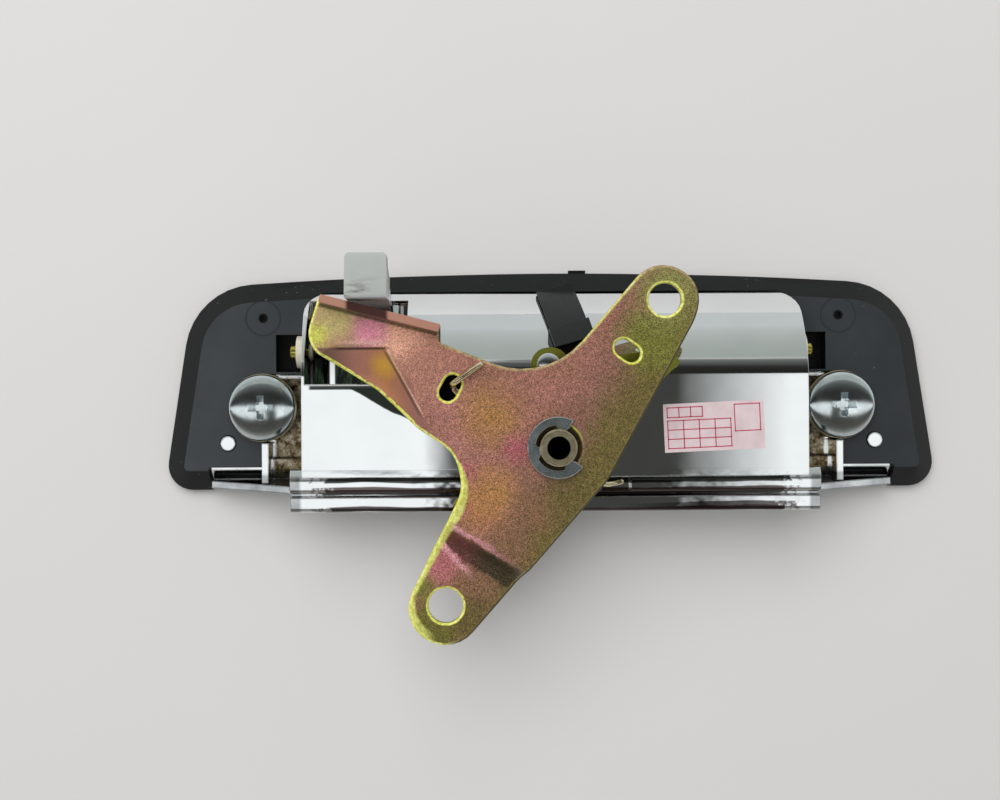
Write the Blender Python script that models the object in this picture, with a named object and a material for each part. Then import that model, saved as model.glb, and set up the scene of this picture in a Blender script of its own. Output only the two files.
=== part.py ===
"""Pickup tailgate handle: a plated bucket with a paddle, a backing pad and a bell crank.

Units are metres. X runs along the handle and Y towards the top of the tailgate. Z points into the tailgate.
Z = 0 is the front of the bezel, on which the handle lies. X = 0 is the middle of the bezel.
"""
import math

import bmesh
import bpy
from mathutils import Matrix, Vector

MM = 0.001
CLEARANCE = 0.3 * MM

# Largest share of an edge that one fillet may take
FILLET_SHARE = 0.9

# Plated housing: bucket with a curved upper wall, a knee and a flat back
WALL = 2.4 * MM
BUCKET_HALF_LENGTH = 78.8 * MM
BUCKET_DRAFT = 0.045
BUCKET_TOP_Y = 28.5 * MM
BUCKET_KNEE_Y = 2.0 * MM
BUCKET_KNEE_RADIUS = 14.0 * MM
BUCKET_KNEE_SLOPE_DEG = 20.0
BUCKET_SHOULDER_Z = 9.0 * MM
BUCKET_BACK_Z = 28.0 * MM
BUCKET_CORNER_RADIUS = 7.0 * MM
CAVITY_HALF_LENGTH = BUCKET_HALF_LENGTH - WALL
FACE_THICKNESS = 2.5 * MM
OPENING_TOP_Y = 16.0 * MM

# Outline of the backing pad, as corners with fillet radii, and its rim
PAD_TOP = 35.7 * MM
PAD_CROWN_X = 62.0 * MM
PAD_CROWN_Y = 34.4 * MM
PAD_CORNER_X = BUCKET_HALF_LENGTH + 37.1 * MM
PAD_CORNER_Y = 31.4 * MM
PAD_FOOT_X = BUCKET_HALF_LENGTH + 47.2 * MM
PAD_BOTTOM = 34.5 * MM
PAD_CROWN_RADIUS = 1250.0 * MM
PAD_CORNER_RADIUS = 23.3 * MM
PAD_FOOT_RADIUS = 8.0 * MM
PAD_RIM_WIDTH = 6.6 * MM
PAD_THICKNESS = 2.0 * MM
PAD_EDGE_TOP = 3.5 * MM
PAD_EDGE_LOW = 1.4 * MM
PAD_NOTCH_X = PAD_FOOT_X - 15.7 * MM
PAD_NOTCH_Y = 27.0 * MM
PAD_CUTOUT_X = BUCKET_HALF_LENGTH + 13.9 * MM
PIN_WELL_X = BUCKET_HALF_LENGTH + 9.6 * MM
PIN_WELL_TOP = 15.6 * MM
PIN_WELL_LOW = 3.0 * MM
PIN_WELL_WALL = 1.2 * MM
PIN_WELL_FLOOR = 0.7 * MM
DIMPLE_X = BUCKET_HALF_LENGTH + 13.7 * MM
DIMPLE_Y = 21.0 * MM
DIMPLE_RADIUS = 1.0 * MM
GATE_X = 9.0 * MM
GATE_WIDTH = 5.6 * MM

# Plated housing: bezel tray, lower wall, lip, ribs and pegs
TRAY_INSET = 1.6 * MM
TRAY_EDGE = 2.0 * MM
TRAY_TOP = 6.7 * MM
TRAY_SLOPE_WIDTH = 5.0 * MM
TRAY_DRAFT = 0.35 * MM
EDGE_ROUND = 1.4 * MM
LOWER_WALL_Y = 33.0 * MM
LOWER_WALL_LEAN = 0.115
LOWER_WALL_END_X = PAD_NOTCH_X - 0.5 * MM
LIP_HALF_LENGTH = BUCKET_HALF_LENGTH + 2.8 * MM
LOWER_WALL_RAMP_X = LIP_HALF_LENGTH + 2.4 * MM
LOWER_WALL_RAMP_Z = 17.0 * MM
LIP_STEP_Y = 29.4 * MM
LIP_GROOVE_Y = 34.8 * MM
LIP_END_Y = 40.2 * MM
LIP_LOW_Z = 21.8 * MM
LIP_DROP = 1.3 * MM
LIP_GROOVE_WIDTH = 0.9 * MM
LIP_GROOVE_DEPTH = 1.6 * MM
LIP_BEAD_RADIUS = 1.1 * MM
LIP_CREASE = 0.5 * MM
SPRING_NOTCH_LEFT = 14.0 * MM
SPRING_NOTCH_RIGHT = 23.0 * MM
SPRING_NOTCH_DEPTH = 1.6 * MM
RIB_X = BUCKET_HALF_LENGTH + 11.4 * MM
RIB_WIDTH = 2.1 * MM
SHELF_END_X = BUCKET_HALF_LENGTH + 9.2 * MM
SHELF_Y = 2.6 * MM
PEG_X = BUCKET_HALF_LENGTH + 25.2 * MM
PEG_Y = -19.2 * MM
PEG_RADIUS = 2.35 * MM
PEG_HEIGHT = 0.5 * MM

# Mounting screws and their washers
SCREW_X = BUCKET_HALF_LENGTH + 13.9 * MM
SCREW_Y = -7.8 * MM
SCREW_HEAD_RADIUS = 10.7 * MM
SCREW_HEAD_HEIGHT = 4.5 * MM
SCREW_SHANK_RADIUS = 3.0 * MM
SCREW_SHANK_LENGTH = 7.0 * MM
SCREW_EDGE = 1.2 * MM
RECESS_SPAN = 8.8 * MM
RECESS_WIDTH = 2.1 * MM
RECESS_STAR = 2.7 * MM
RECESS_DEPTH = 2.6 * MM
WASHER_RADIUS = 11.0 * MM
WASHER_THICKNESS = 1.2 * MM
BOSS_RADIUS = 6.0 * MM

# Paddle, its hinge pin and the bushes of the pin
HINGE_Y = 10.0 * MM
HINGE_Z = 9.0 * MM
PADDLE_END_GAP = 0.6 * MM
PADDLE_HALF_LENGTH = CAVITY_HALF_LENGTH - PADDLE_END_GAP
PADDLE_FREE_EDGE_Y = -15.0 * MM
PADDLE_FRONT_Z = 0.5 * MM
PADDLE_THICKNESS = 2.4 * MM
PADDLE_CURL = 6.5 * MM
PADDLE_CHEEK = 2.6 * MM
PADDLE_HUB_RADIUS = 4.2 * MM
PIN_RADIUS = 1.5 * MM
PIN_HEAD_RADIUS = 2.3 * MM
PIN_HEAD_LENGTH = 2.0 * MM
BUSH_RADIUS = 5.2 * MM
BUSH_FLANGE = 2.4 * MM
BUSH_SLEEVE_RADIUS = 2.7 * MM
STOP_RADIUS = 1.7 * MM
STOP_HEIGHT = 1.8 * MM
STOP_Y = -10.5 * MM
STOP_LEDGE_WIDTH = 3.8 * MM
STOP_LEDGE_LENGTH = 5.0 * MM

# Lever of the paddle and its window in the bucket
LEVER_WIDTH = 12.3 * MM
LEVER_LEFT = 13.3 * MM - PADDLE_HALF_LENGTH
LEVER_RIGHT = LEVER_LEFT + LEVER_WIDTH
LEVER_FACE_Y = 24.2 * MM
LEVER_TIP_DEPTH = 13.9 * MM
LEVER_TIP_Z = 50.0 * MM
LEVER_TIP_SLOPE = 2.4 * MM
LEVER_TIP_THICKNESS = 3.0 * MM
LEVER_FACE_Z = 36.0 * MM
WINDOW_LEFT = -CAVITY_HALF_LENGTH - 0.6 * MM
WINDOW_RIGHT = LEVER_RIGHT + 4.6 * MM
WINDOW_TOP = 26.0 * MM
WINDOW_LOW = -0.6 * MM

# Pivot of the bell crank, from the bracket up
PIVOT_X = 0.0 * MM
PIVOT_Y = -20.0 * MM
BRACKET_THICKNESS = 2.0 * MM
POST_FLANGE_RADIUS = 7.4 * MM
POST_FLANGE_THICKNESS = 1.6 * MM
POST_RADIUS = 5.6 * MM
POST_BORE_RADIUS = 3.3 * MM
POST_TOP_Z = 44.5 * MM
POST_GROOVE_RADIUS = 5.05 * MM
SPRING_WIRE_RADIUS = 0.9 * MM
SPRING_COIL_RADIUS = 8.5 * MM
SPRING_RISE = 2.3 * MM
SPRING_TURNS = 1.42
THRUST_WASHER_RADIUS = 10.6 * MM
THRUST_WASHER_THICKNESS = 0.5 * MM
PIVOT_BUSH_RADIUS = 6.8 * MM
PIVOT_BUSH_STANDS_OUT = 1.0 * MM
CLIP_RADIUS = 9.2 * MM
CLIP_RING_WIDTH = 2.5 * MM
CLIP_THICKNESS = 1.2 * MM
CLIP_MOUTH_DEG = 50.0
CLIP_TURN_DEG = 11.0

# Bracket screws, at their places on the back of the bucket
BRACKET_SCREW_TOP = (-2.1 * MM, 4.9 * MM)
BRACKET_SCREW_RIGHT = (28.0 * MM, 0.0 * MM)
BRACKET_SCREW_LEFT = (-17.0 * MM, -14.0 * MM)
BRACKET_SCREW_HEAD_RADIUS = 3.7 * MM
BRACKET_SCREW_HEAD_HEIGHT = 2.0 * MM
BRACKET_SCREW_RADIUS = 1.5 * MM
BRACKET_SCREW_LENGTH = 5.0 * MM
BRACKET_BOSS_RADIUS = 3.6 * MM
BRACKET_EAR = 1.6 * MM
BRACKET_LOW_GAP = 1.4 * MM

# Tongue of the bracket, which runs past its right screw: corners (x, y, fillet radius)
TONGUE_LOW = (33.0 * MM, 0.6 * MM, 1.0 * MM)
TONGUE_TIP = (38.4 * MM, 5.4 * MM, 0.8 * MM)
TONGUE_TOP = (36.8 * MM, 7.4 * MM, 0.8 * MM)
TONGUE_SHOULDER = (31.0 * MM, 9.6 * MM, 3.0 * MM)
TONGUE_ROOT = (18.0 * MM, 7.3 * MM, 3.0 * MM)

# Bell crank
CRANK_THICKNESS = 2.4 * MM
CRANK_GAP_TO_WASHER = 0.3 * MM
UPPER_ROD_HOLE = (32.2 * MM, 23.9 * MM)
UPPER_ROD_RADIUS = 4.9 * MM
UPPER_TIP_RADIUS = 10.2 * MM
LOWER_ROD_HOLE = (-33.8 * MM, -67.9 * MM)
LOWER_ROD_RADIUS = 5.3 * MM
LOWER_TIP_RADIUS = 11.0 * MM
SLOT_LEFT = (-32.0 * MM, -2.1 * MM)
SLOT_RIGHT = (20.9 * MM, 8.7 * MM)
SLOT_LENGTH = 8.3 * MM
SLOT_WIDTH = 5.2 * MM
FLANGE_LEFT = (LEVER_LEFT - 8.5 * MM, 25.9 * MM)
FLANGE_RIGHT = (LEVER_RIGHT + 15.4 * MM, 16.6 * MM)
FLANGE_THICKNESS = 2.3 * MM
FLANGE_RISE = 6.0 * MM
SCOOP_CENTRE = (LEVER_LEFT + 2.0 * MM, -7.0 * MM)
SCOOP_RADIUS = 18.3 * MM
SCOOP_DEPTH = 5.4 * MM
SCOOP_SLOPE_SHARE = 0.6
JOGGLE_NORMAL = (-0.475, -0.880)
JOGGLE_START = 53.0 * MM
JOGGLE_END = 59.5 * MM
JOGGLE_DROP = 6.0 * MM

# Corners of the bell crank's plan between its ends (x, y, fillet radius)
CRANK_LEFT_TIP = (FLANGE_LEFT[0] - 4.6 * MM, 10.9 * MM, 8.0 * MM)
CRANK_SCOOP_EDGE = (-54.0 * MM, -2.6 * MM, 12.0 * MM)
CRANK_HIP = (-41.6 * MM, -14.2 * MM, 7.0 * MM)
CRANK_WAIST = (-30.6 * MM, -21.5 * MM, 12.0 * MM)
CRANK_THIGH = (-28.4 * MM, -32.5 * MM, 12.0 * MM)
CRANK_RIGHT_HIP = (15.0 * MM, -29.9 * MM, 25.0 * MM)
CRANK_RIGHT_EDGE = (41.2 * MM, 18.0 * MM, 20.0 * MM)
CRANK_SADDLE = (-3.6 * MM, -1.2 * MM, 24.0 * MM)
LOWER_TIP_LEFT = (-48.0 * MM, -72.0 * MM, LOWER_TIP_RADIUS)
LOWER_TIP_RIGHT = (-32.5 * MM, -83.9 * MM, LOWER_TIP_RADIUS)
UPPER_TIP_RIGHT = (44.3 * MM, 29.0 * MM, UPPER_TIP_RADIUS)
UPPER_TIP_LEFT = (29.2 * MM, 36.8 * MM, UPPER_TIP_RADIUS)
FLANGE_ROOT_Y = 11.4 * MM

# Black stop strap across the curved wall of the bucket
STRAP_WIDTH = 12.0 * MM
STRAP_LENGTH = 18.6 * MM
STRAP_THICKNESS = 1.2 * MM
STRAP_ANGLE_DEG = 16.0
STRAP_TOP = (1.0 * MM, 30.2 * MM)
STRAP_BLOCK_LENGTH = 5.8 * MM
STRAP_BLOCK_HEIGHT = 4.2 * MM
STRAP_BLOCK_WIDTH = 12.8 * MM

# Heights that follow from the sizes above
PAD_BACK_Z = TRAY_TOP + CLEARANCE + PAD_THICKNESS
BRACKET_Z = BUCKET_BACK_Z + CLEARANCE
BRACKET_TOP_Z = BRACKET_Z + BRACKET_THICKNESS
POST_FLANGE_TOP_Z = BRACKET_TOP_Z + CLEARANCE + POST_FLANGE_THICKNESS
SPRING_LOW_Z = POST_FLANGE_TOP_Z + CLEARANCE + SPRING_WIRE_RADIUS
SPRING_HIGH_Z = SPRING_LOW_Z + SPRING_RISE
THRUST_WASHER_Z = SPRING_HIGH_Z + SPRING_WIRE_RADIUS + CLEARANCE
CRANK_Z = THRUST_WASHER_Z + THRUST_WASHER_THICKNESS + CRANK_GAP_TO_WASHER
CRANK_TOP_Z = CRANK_Z + CRANK_THICKNESS
PIVOT_BUSH_TOP_Z = CRANK_TOP_Z + PIVOT_BUSH_STANDS_OUT
CLIP_Z = PIVOT_BUSH_TOP_Z + CLEARANCE
OVERSHOOT = 2.0 * MM
MACHINING = 0.1 * MM


def clear_scene():
    for item in list(bpy.data.objects):
        bpy.data.objects.remove(item, do_unlink=True)


def make_material(name, colour, roughness, metallic):
    material = bpy.data.materials.new(name)
    material.use_nodes = True
    shader = material.node_tree.nodes["Principled BSDF"]
    shader.inputs["Base Color"].default_value = (*colour, 1.0)
    shader.inputs["Roughness"].default_value = roughness
    shader.inputs["Metallic"].default_value = metallic
    return material


def add_mesh(name, bm):
    """Turn a bmesh into an object with outward faces."""
    bmesh.ops.recalc_face_normals(bm, faces=bm.faces)
    mesh = bpy.data.meshes.new(name)
    bm.to_mesh(mesh)
    bm.free()
    item = bpy.data.objects.new(name, mesh)
    bpy.context.collection.objects.link(item)
    return item


def boolean(item, tool, operation):
    """Combine item with tool, keep the result in item and remove the tool."""
    modifier = item.modifiers.new(operation.lower(), "BOOLEAN")
    modifier.operation = operation
    modifier.solver = "EXACT"
    modifier.object = tool
    depsgraph = bpy.context.evaluated_depsgraph_get()
    mesh = bpy.data.meshes.new_from_object(item.evaluated_get(depsgraph))
    item.modifiers.clear()
    item.data = mesh
    bpy.data.objects.remove(tool, do_unlink=True)


def join(item, *tools):
    for tool in tools:
        boolean(item, tool, "UNION")


def cut(item, *tools):
    for tool in tools:
        boolean(item, tool, "DIFFERENCE")


def finish(item, material, pivot=None):
    """Give the piece its material and smooth shading, and move its origin to its joint's axis."""
    item.data.materials.clear()
    item.data.materials.append(material)
    item.data.shade_smooth()
    item.data.set_sharp_from_angle(angle=math.radians(35))
    if pivot is not None:
        item.data.transform(Matrix.Translation(-Vector(pivot)))
        item.location = pivot
    return item


def arc(centre, radius, start, end, count):
    """Points on a circle from one angle to another, in radians, both ends included."""
    points = []
    for step in range(count + 1):
        angle = start + (end - start) * step / count
        points.append((centre[0] + radius * math.cos(angle), centre[1] + radius * math.sin(angle)))
    return points


def circle(centre, radius, count):
    return arc(centre, radius, 0.0, math.tau, count)[:-1]


def rounded(corners, count=5):
    """Closed outline through corners (x, y, fillet radius), each fillet drawn with count steps.

    A fillet is limited by the shorter of the two edges that it joins.
    """
    outline = []
    for index, (x, y, radius) in enumerate(corners):
        here = Vector((x, y))
        before = Vector(corners[index - 1][:2]) - here
        after = Vector(corners[(index + 1) % len(corners)][:2]) - here
        shorter = min(before.length, after.length)
        before.normalize()
        after.normalize()
        if radius <= 0.0:
            outline.append((x, y))
            continue
        half = before.angle(after) / 2
        radius = min(radius, FILLET_SHARE * shorter * math.tan(half))
        start = here + before * (radius / math.tan(half))
        centre = here + (before + after).normalized() * (radius / math.sin(half))
        first = start - centre
        turn = math.pi - 2 * half
        if before.x * after.y - before.y * after.x > 0:
            turn = -turn
        for step in range(count + 1):
            spoke = first.copy()
            spoke.rotate(Matrix.Rotation(turn * step / count, 2))
            outline.append(tuple(centre + spoke))
    return outline


def inset_corners(corners, inset, least_radius):
    """Corners of the same outline moved inwards by inset; the corners run anticlockwise."""
    moved = []
    for index, (x, y, radius) in enumerate(corners):
        here = Vector((x, y))
        before = (here - Vector(corners[index - 1][:2])).normalized()
        after = (Vector(corners[(index + 1) % len(corners)][:2]) - here).normalized()
        inward_before = Vector((-before.y, before.x))
        inward_after = Vector((-after.y, after.x))
        bisector = inward_before + inward_after
        shift = bisector * (2 * inset / bisector.length_squared)
        moved.append((x + shift.x, y + shift.y, max(radius - inset, least_radius)))
    return moved


def pad_outline(inset=0.0):
    """Outline of the pad at a distance inside its edge."""
    right = [
        (PAD_FOOT_X, -PAD_BOTTOM, PAD_FOOT_RADIUS),
        (PAD_CORNER_X, PAD_CORNER_Y, PAD_CORNER_RADIUS),
        (PAD_CROWN_X, PAD_CROWN_Y, PAD_CROWN_RADIUS),
    ]
    left = [(-x, y, radius) for x, y, radius in reversed(right)]
    corners = right + [(0.0, PAD_TOP, PAD_CROWN_RADIUS)] + left
    return rounded(inset_corners(corners, inset, 0.6 * MM), 8)


def prism(name, outline, low, high, axis="Z"):
    """Extrude an outline. Its two coordinates are X and Y along Z, or Y and Z along X."""
    bm = bmesh.new()
    ends = []
    for level in (low, high):
        ring = []
        for first, second in outline:
            place = (first, second, level) if axis == "Z" else (level, first, second)
            ring.append(bm.verts.new(place))
        ends.append(ring)
    count = len(outline)
    for index in range(count):
        following = (index + 1) % count
        bm.faces.new((ends[0][index], ends[0][following], ends[1][following], ends[1][index]))
    bm.faces.new(list(reversed(ends[0])))
    bm.faces.new(ends[1])
    return add_mesh(name, bm)


def loft(name, rings):
    """Join rings of equal length, each a list of 3-D points, and cap both ends."""
    bm = bmesh.new()
    rows = [[bm.verts.new(point) for point in ring] for ring in rings]
    count = len(rings[0])
    for lower, upper in zip(rows, rows[1:]):
        for index in range(count):
            following = (index + 1) % count
            bm.faces.new((lower[index], lower[following], upper[following], upper[index]))
    bm.faces.new(list(reversed(rows[0])))
    bm.faces.new(rows[-1])
    return add_mesh(name, bm)


def dish(name, profile):
    """Loft of the pad's outline through (inset, height) pairs."""
    return loft(name, [[(x, y, height) for x, y in pad_outline(inset)] for inset, height in profile])


def box(name, low, high):
    outline = [(low[0], low[1]), (high[0], low[1]), (high[0], high[1]), (low[0], high[1])]
    return prism(name, outline, low[2], high[2])


def turned(name, profile, centre, count=40, axis="Z"):
    """Solid of revolution through (radius, height) pairs; a profile that leaves the axis makes a ring."""
    bm = bmesh.new()
    closed = all(radius > 0.0 for radius, height in profile)
    rows = []
    for radius, height in profile:
        if radius <= 0.0:
            place = (0.0, 0.0, height) if axis == "Z" else (height, 0.0, 0.0)
            rows.append([bm.verts.new(place)])
            continue
        row = []
        for x, y in circle((0.0, 0.0), radius, count):
            place = (x, y, height) if axis == "Z" else (height, x, y)
            row.append(bm.verts.new(place))
        rows.append(row)
    pairs = list(zip(rows, rows[1:]))
    if closed:
        pairs.append((rows[-1], rows[0]))
    for lower, upper in pairs:
        for index in range(count):
            following = (index + 1) % count
            if len(lower) == 1:
                bm.faces.new((lower[0], upper[following], upper[index]))
            elif len(upper) == 1:
                bm.faces.new((lower[index], lower[following], upper[0]))
            else:
                bm.faces.new((lower[index], lower[following], upper[following], upper[index]))
    bmesh.ops.translate(bm, verts=bm.verts, vec=centre)
    return add_mesh(name, bm)


def cylinder(name, radius, low, high, centre, count=40, axis="Z"):
    return turned(name, [(0.0, low), (radius, low), (radius, high), (0.0, high)], centre, count, axis)


def curved_wall(offset):
    """Side view (y, z) of the bucket's upper wall, an arc and then the knee, moved inwards by offset."""
    slope = math.radians(BUCKET_KNEE_SLOPE_DEG)
    spoke = Vector((math.sin(slope), math.cos(slope)))
    knee_centre = Vector((BUCKET_KNEE_Y, BUCKET_BACK_Z - BUCKET_KNEE_RADIUS))
    knee_start = knee_centre + spoke * BUCKET_KNEE_RADIUS
    chord = Vector((BUCKET_TOP_Y, BUCKET_SHOULDER_Z)) - knee_start
    half_turn = math.atan2(-chord.y, chord.x) - slope
    radius = chord.length / (2 * math.sin(half_turn))
    centre = knee_start - spoke * radius
    tangent = math.pi / 2 - slope
    upper = arc(centre, radius - offset, tangent - 2 * half_turn, tangent, 12)
    knee = arc(knee_centre, BUCKET_KNEE_RADIUS - offset, tangent, math.pi / 2, 4)
    return upper + knee[1:]


def lower_wall_y(height):
    """Outer face of the leaning lower wall at a height."""
    return -(LOWER_WALL_Y + LOWER_WALL_LEAN * height)


def bezel_tray():
    top_inset = TRAY_INSET + TRAY_SLOPE_WIDTH
    across = WALL * math.hypot(TRAY_SLOPE_WIDTH, TRAY_TOP - TRAY_EDGE) / (TRAY_TOP - TRAY_EDGE)
    return dish("housing", [
        (TRAY_INSET + EDGE_ROUND, 0.0),
        (TRAY_INSET + EDGE_ROUND * 0.3, EDGE_ROUND * 0.3),
        (TRAY_INSET, EDGE_ROUND),
        (TRAY_INSET, TRAY_EDGE),
        (top_inset, TRAY_TOP),
        (top_inset + across, TRAY_TOP),
        (top_inset + across + TRAY_DRAFT, FACE_THICKNESS),
    ])


def bucket_plan(half, top, low, radius):
    """Plan of the bucket: square at the lip, rounded at its upper corners."""
    return rounded([(-half, low, 0.0), (half, low, 0.0), (half, top, radius), (-half, top, radius)], 6)


def bucket_block():
    """Outer form of the bucket: its side view extruded, with rounded and drafted plan corners."""
    side = [(-LIP_STEP_Y, 0.0), (BUCKET_TOP_Y, 0.0)] + curved_wall(0.0) + [(-LIP_STEP_Y, BUCKET_BACK_Z)]
    block = prism("bucket", side, -BUCKET_HALF_LENGTH - OVERSHOOT, BUCKET_HALF_LENGTH + OVERSHOOT, "X")
    rings = []
    for height in (0.0, BUCKET_SHOULDER_Z, BUCKET_BACK_Z + OVERSHOOT):
        half = BUCKET_HALF_LENGTH - BUCKET_DRAFT * max(height - BUCKET_SHOULDER_Z, 0.0)
        top = BUCKET_TOP_Y + OVERSHOOT * 0.1
        plan = bucket_plan(half, top, -LIP_STEP_Y - OVERSHOOT, BUCKET_CORNER_RADIUS)
        rings.append([(x, y, height - OVERSHOOT * (height == 0.0)) for x, y in plan])
    boolean(block, loft("bucket_plan", rings), "INTERSECT")
    return block


def lower_wall():
    """Leaning wall under the bucket, which runs down to the pad's notch at both ends."""
    join_z = LIP_LOW_Z + OVERSHOOT / 2
    heights = [
        (-LOWER_WALL_END_X, TRAY_TOP),
        (-LOWER_WALL_RAMP_X, LOWER_WALL_RAMP_Z),
        (-LIP_HALF_LENGTH + WALL, join_z),
        (LIP_HALF_LENGTH - WALL, join_z),
        (LOWER_WALL_RAMP_X, LOWER_WALL_RAMP_Z),
        (LOWER_WALL_END_X, TRAY_TOP),
    ]
    rings = []
    for x, top in heights:
        rings.append([
            (x, lower_wall_y(0.0) + EDGE_ROUND / 2, 0.0),
            (x, lower_wall_y(0.0), EDGE_ROUND),
            (x, lower_wall_y(top), top),
            (x, lower_wall_y(top) + WALL, top),
            (x, lower_wall_y(0.0) + WALL, 0.0),
        ])
    return loft("lower_wall", rings)


def lip():
    """Two parallel beads along the lower edge of the bucket."""
    top = BUCKET_BACK_Z
    second_top = top - LIP_DROP
    groove_z = second_top - LIP_GROOVE_DEPTH
    bead = LIP_BEAD_RADIUS
    crease = LIP_CREASE
    side = [
        (-LIP_STEP_Y + WALL, top - WALL / 2),
        (-LIP_STEP_Y, top),
        (-LIP_STEP_Y - crease, top - crease),
        (-LIP_STEP_Y - 2 * crease, top),
        (-LIP_GROOVE_Y + LIP_GROOVE_WIDTH / 2 + bead, top),
        (-LIP_GROOVE_Y + LIP_GROOVE_WIDTH / 2 + bead * 0.3, top - bead * 0.3),
        (-LIP_GROOVE_Y + LIP_GROOVE_WIDTH / 2, top - bead),
        (-LIP_GROOVE_Y + LIP_GROOVE_WIDTH / 2, groove_z),
        (-LIP_GROOVE_Y - LIP_GROOVE_WIDTH / 2, groove_z),
        (-LIP_GROOVE_Y - LIP_GROOVE_WIDTH / 2, second_top - bead * 0.4),
        (-LIP_GROOVE_Y - LIP_GROOVE_WIDTH / 2 - bead * 0.4, second_top),
        (-LIP_END_Y + bead, second_top),
        (-LIP_END_Y + bead * 0.3, second_top - bead * 0.3),
        (-LIP_END_Y, second_top - bead),
        (-LIP_END_Y, LIP_LOW_Z + bead),
        (-LIP_END_Y + bead, LIP_LOW_Z),
        (lower_wall_y(LIP_LOW_Z) + WALL / 2, LIP_LOW_Z),
    ]
    return prism("lip", side, -LIP_HALF_LENGTH, LIP_HALF_LENGTH, "X")


def housing_details():
    """Bosses, pegs, ribs and ledges that are cast on the tray."""
    pieces = []
    for side in (-1, 1):
        rib_outer = (RIB_X + RIB_WIDTH) * side
        rib_ramp = (RIB_X - LOWER_WALL_RAMP_X) / (LOWER_WALL_END_X - LOWER_WALL_RAMP_X)
        rib_top = LOWER_WALL_RAMP_Z + (TRAY_TOP - LOWER_WALL_RAMP_Z) * rib_ramp
        boss_centre = (SCREW_X * side, SCREW_Y, 0.0)
        peg_centre = (PEG_X * side, PEG_Y, 0.0)
        root = FACE_THICKNESS / 2
        pieces.append(cylinder("boss", BOSS_RADIUS, root, PAD_BACK_Z, boss_centre))
        pieces.append(cylinder("peg", PEG_RADIUS, root, PAD_BACK_Z + PEG_HEIGHT, peg_centre, 24))
        rib_end = SCREW_Y - WASHER_RADIUS - CLEARANCE
        rib_start = lower_wall_y(0.0) + WALL / 2
        low = (min(RIB_X * side, rib_outer), rib_start, root)
        pieces.append(box("rib", low, (max(RIB_X * side, rib_outer), rib_end, rib_top)))
        shelf_ends = sorted((side * (BUCKET_HALF_LENGTH - WALL / 2), side * SHELF_END_X))
        shelf_low = (shelf_ends[0], SHELF_Y - WALL / 2, root)
        pieces.append(box("shelf", shelf_low, (shelf_ends[1], SHELF_Y, PAD_BACK_Z - CLEARANCE)))
    return pieces


def stop_ledges():
    """Ledges inside the bucket that carry the rubber stops of the paddle."""
    ledges = []
    ledge_z = PADDLE_FRONT_Z + PADDLE_THICKNESS + STOP_HEIGHT + 2 * CLEARANCE
    for side in (-1, 1):
        inner_end = CAVITY_HALF_LENGTH - STOP_LEDGE_WIDTH
        ends = sorted((side * inner_end, side * (CAVITY_HALF_LENGTH + WALL / 2)))
        low = (ends[0], STOP_Y - STOP_LEDGE_LENGTH / 2, ledge_z)
        high = (ends[1], STOP_Y + STOP_LEDGE_LENGTH / 2, BUCKET_BACK_Z)
        ledges.append(box("ledge", low, high))
    return ledges


def bracket_screws_at():
    return {"top": BRACKET_SCREW_TOP, "right": BRACKET_SCREW_RIGHT, "left": BRACKET_SCREW_LEFT}


def bracket_bosses():
    """Bosses under the back of the bucket, which take the screws of the bracket."""
    bosses = []
    for x, y in bracket_screws_at().values():
        centre = (x, y, BUCKET_BACK_Z)
        depth = BRACKET_SCREW_LENGTH + OVERSHOOT
        bosses.append(cylinder("boss", BRACKET_BOSS_RADIUS, -depth, 0.0, centre, 20))
    return bosses


def cavity():
    """Inside of the bucket, open to the front below the bezel's upper edge, round its ledges and bosses."""
    roof = BUCKET_BACK_Z - WALL
    wall = WALL - MACHINING
    side = [
        (lower_wall_y(-OVERSHOOT) + wall, -OVERSHOOT),
        (OPENING_TOP_Y, -OVERSHOOT),
        (OPENING_TOP_Y, FACE_THICKNESS),
        (BUCKET_TOP_Y - WALL, FACE_THICKNESS),
    ]
    side += curved_wall(WALL)
    side += [(lower_wall_y(roof) + wall, roof)]
    inside = prism("cavity", side, -CAVITY_HALF_LENGTH, CAVITY_HALF_LENGTH, "X")
    cut(inside, *stop_ledges(), *bracket_bosses())
    return inside


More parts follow.
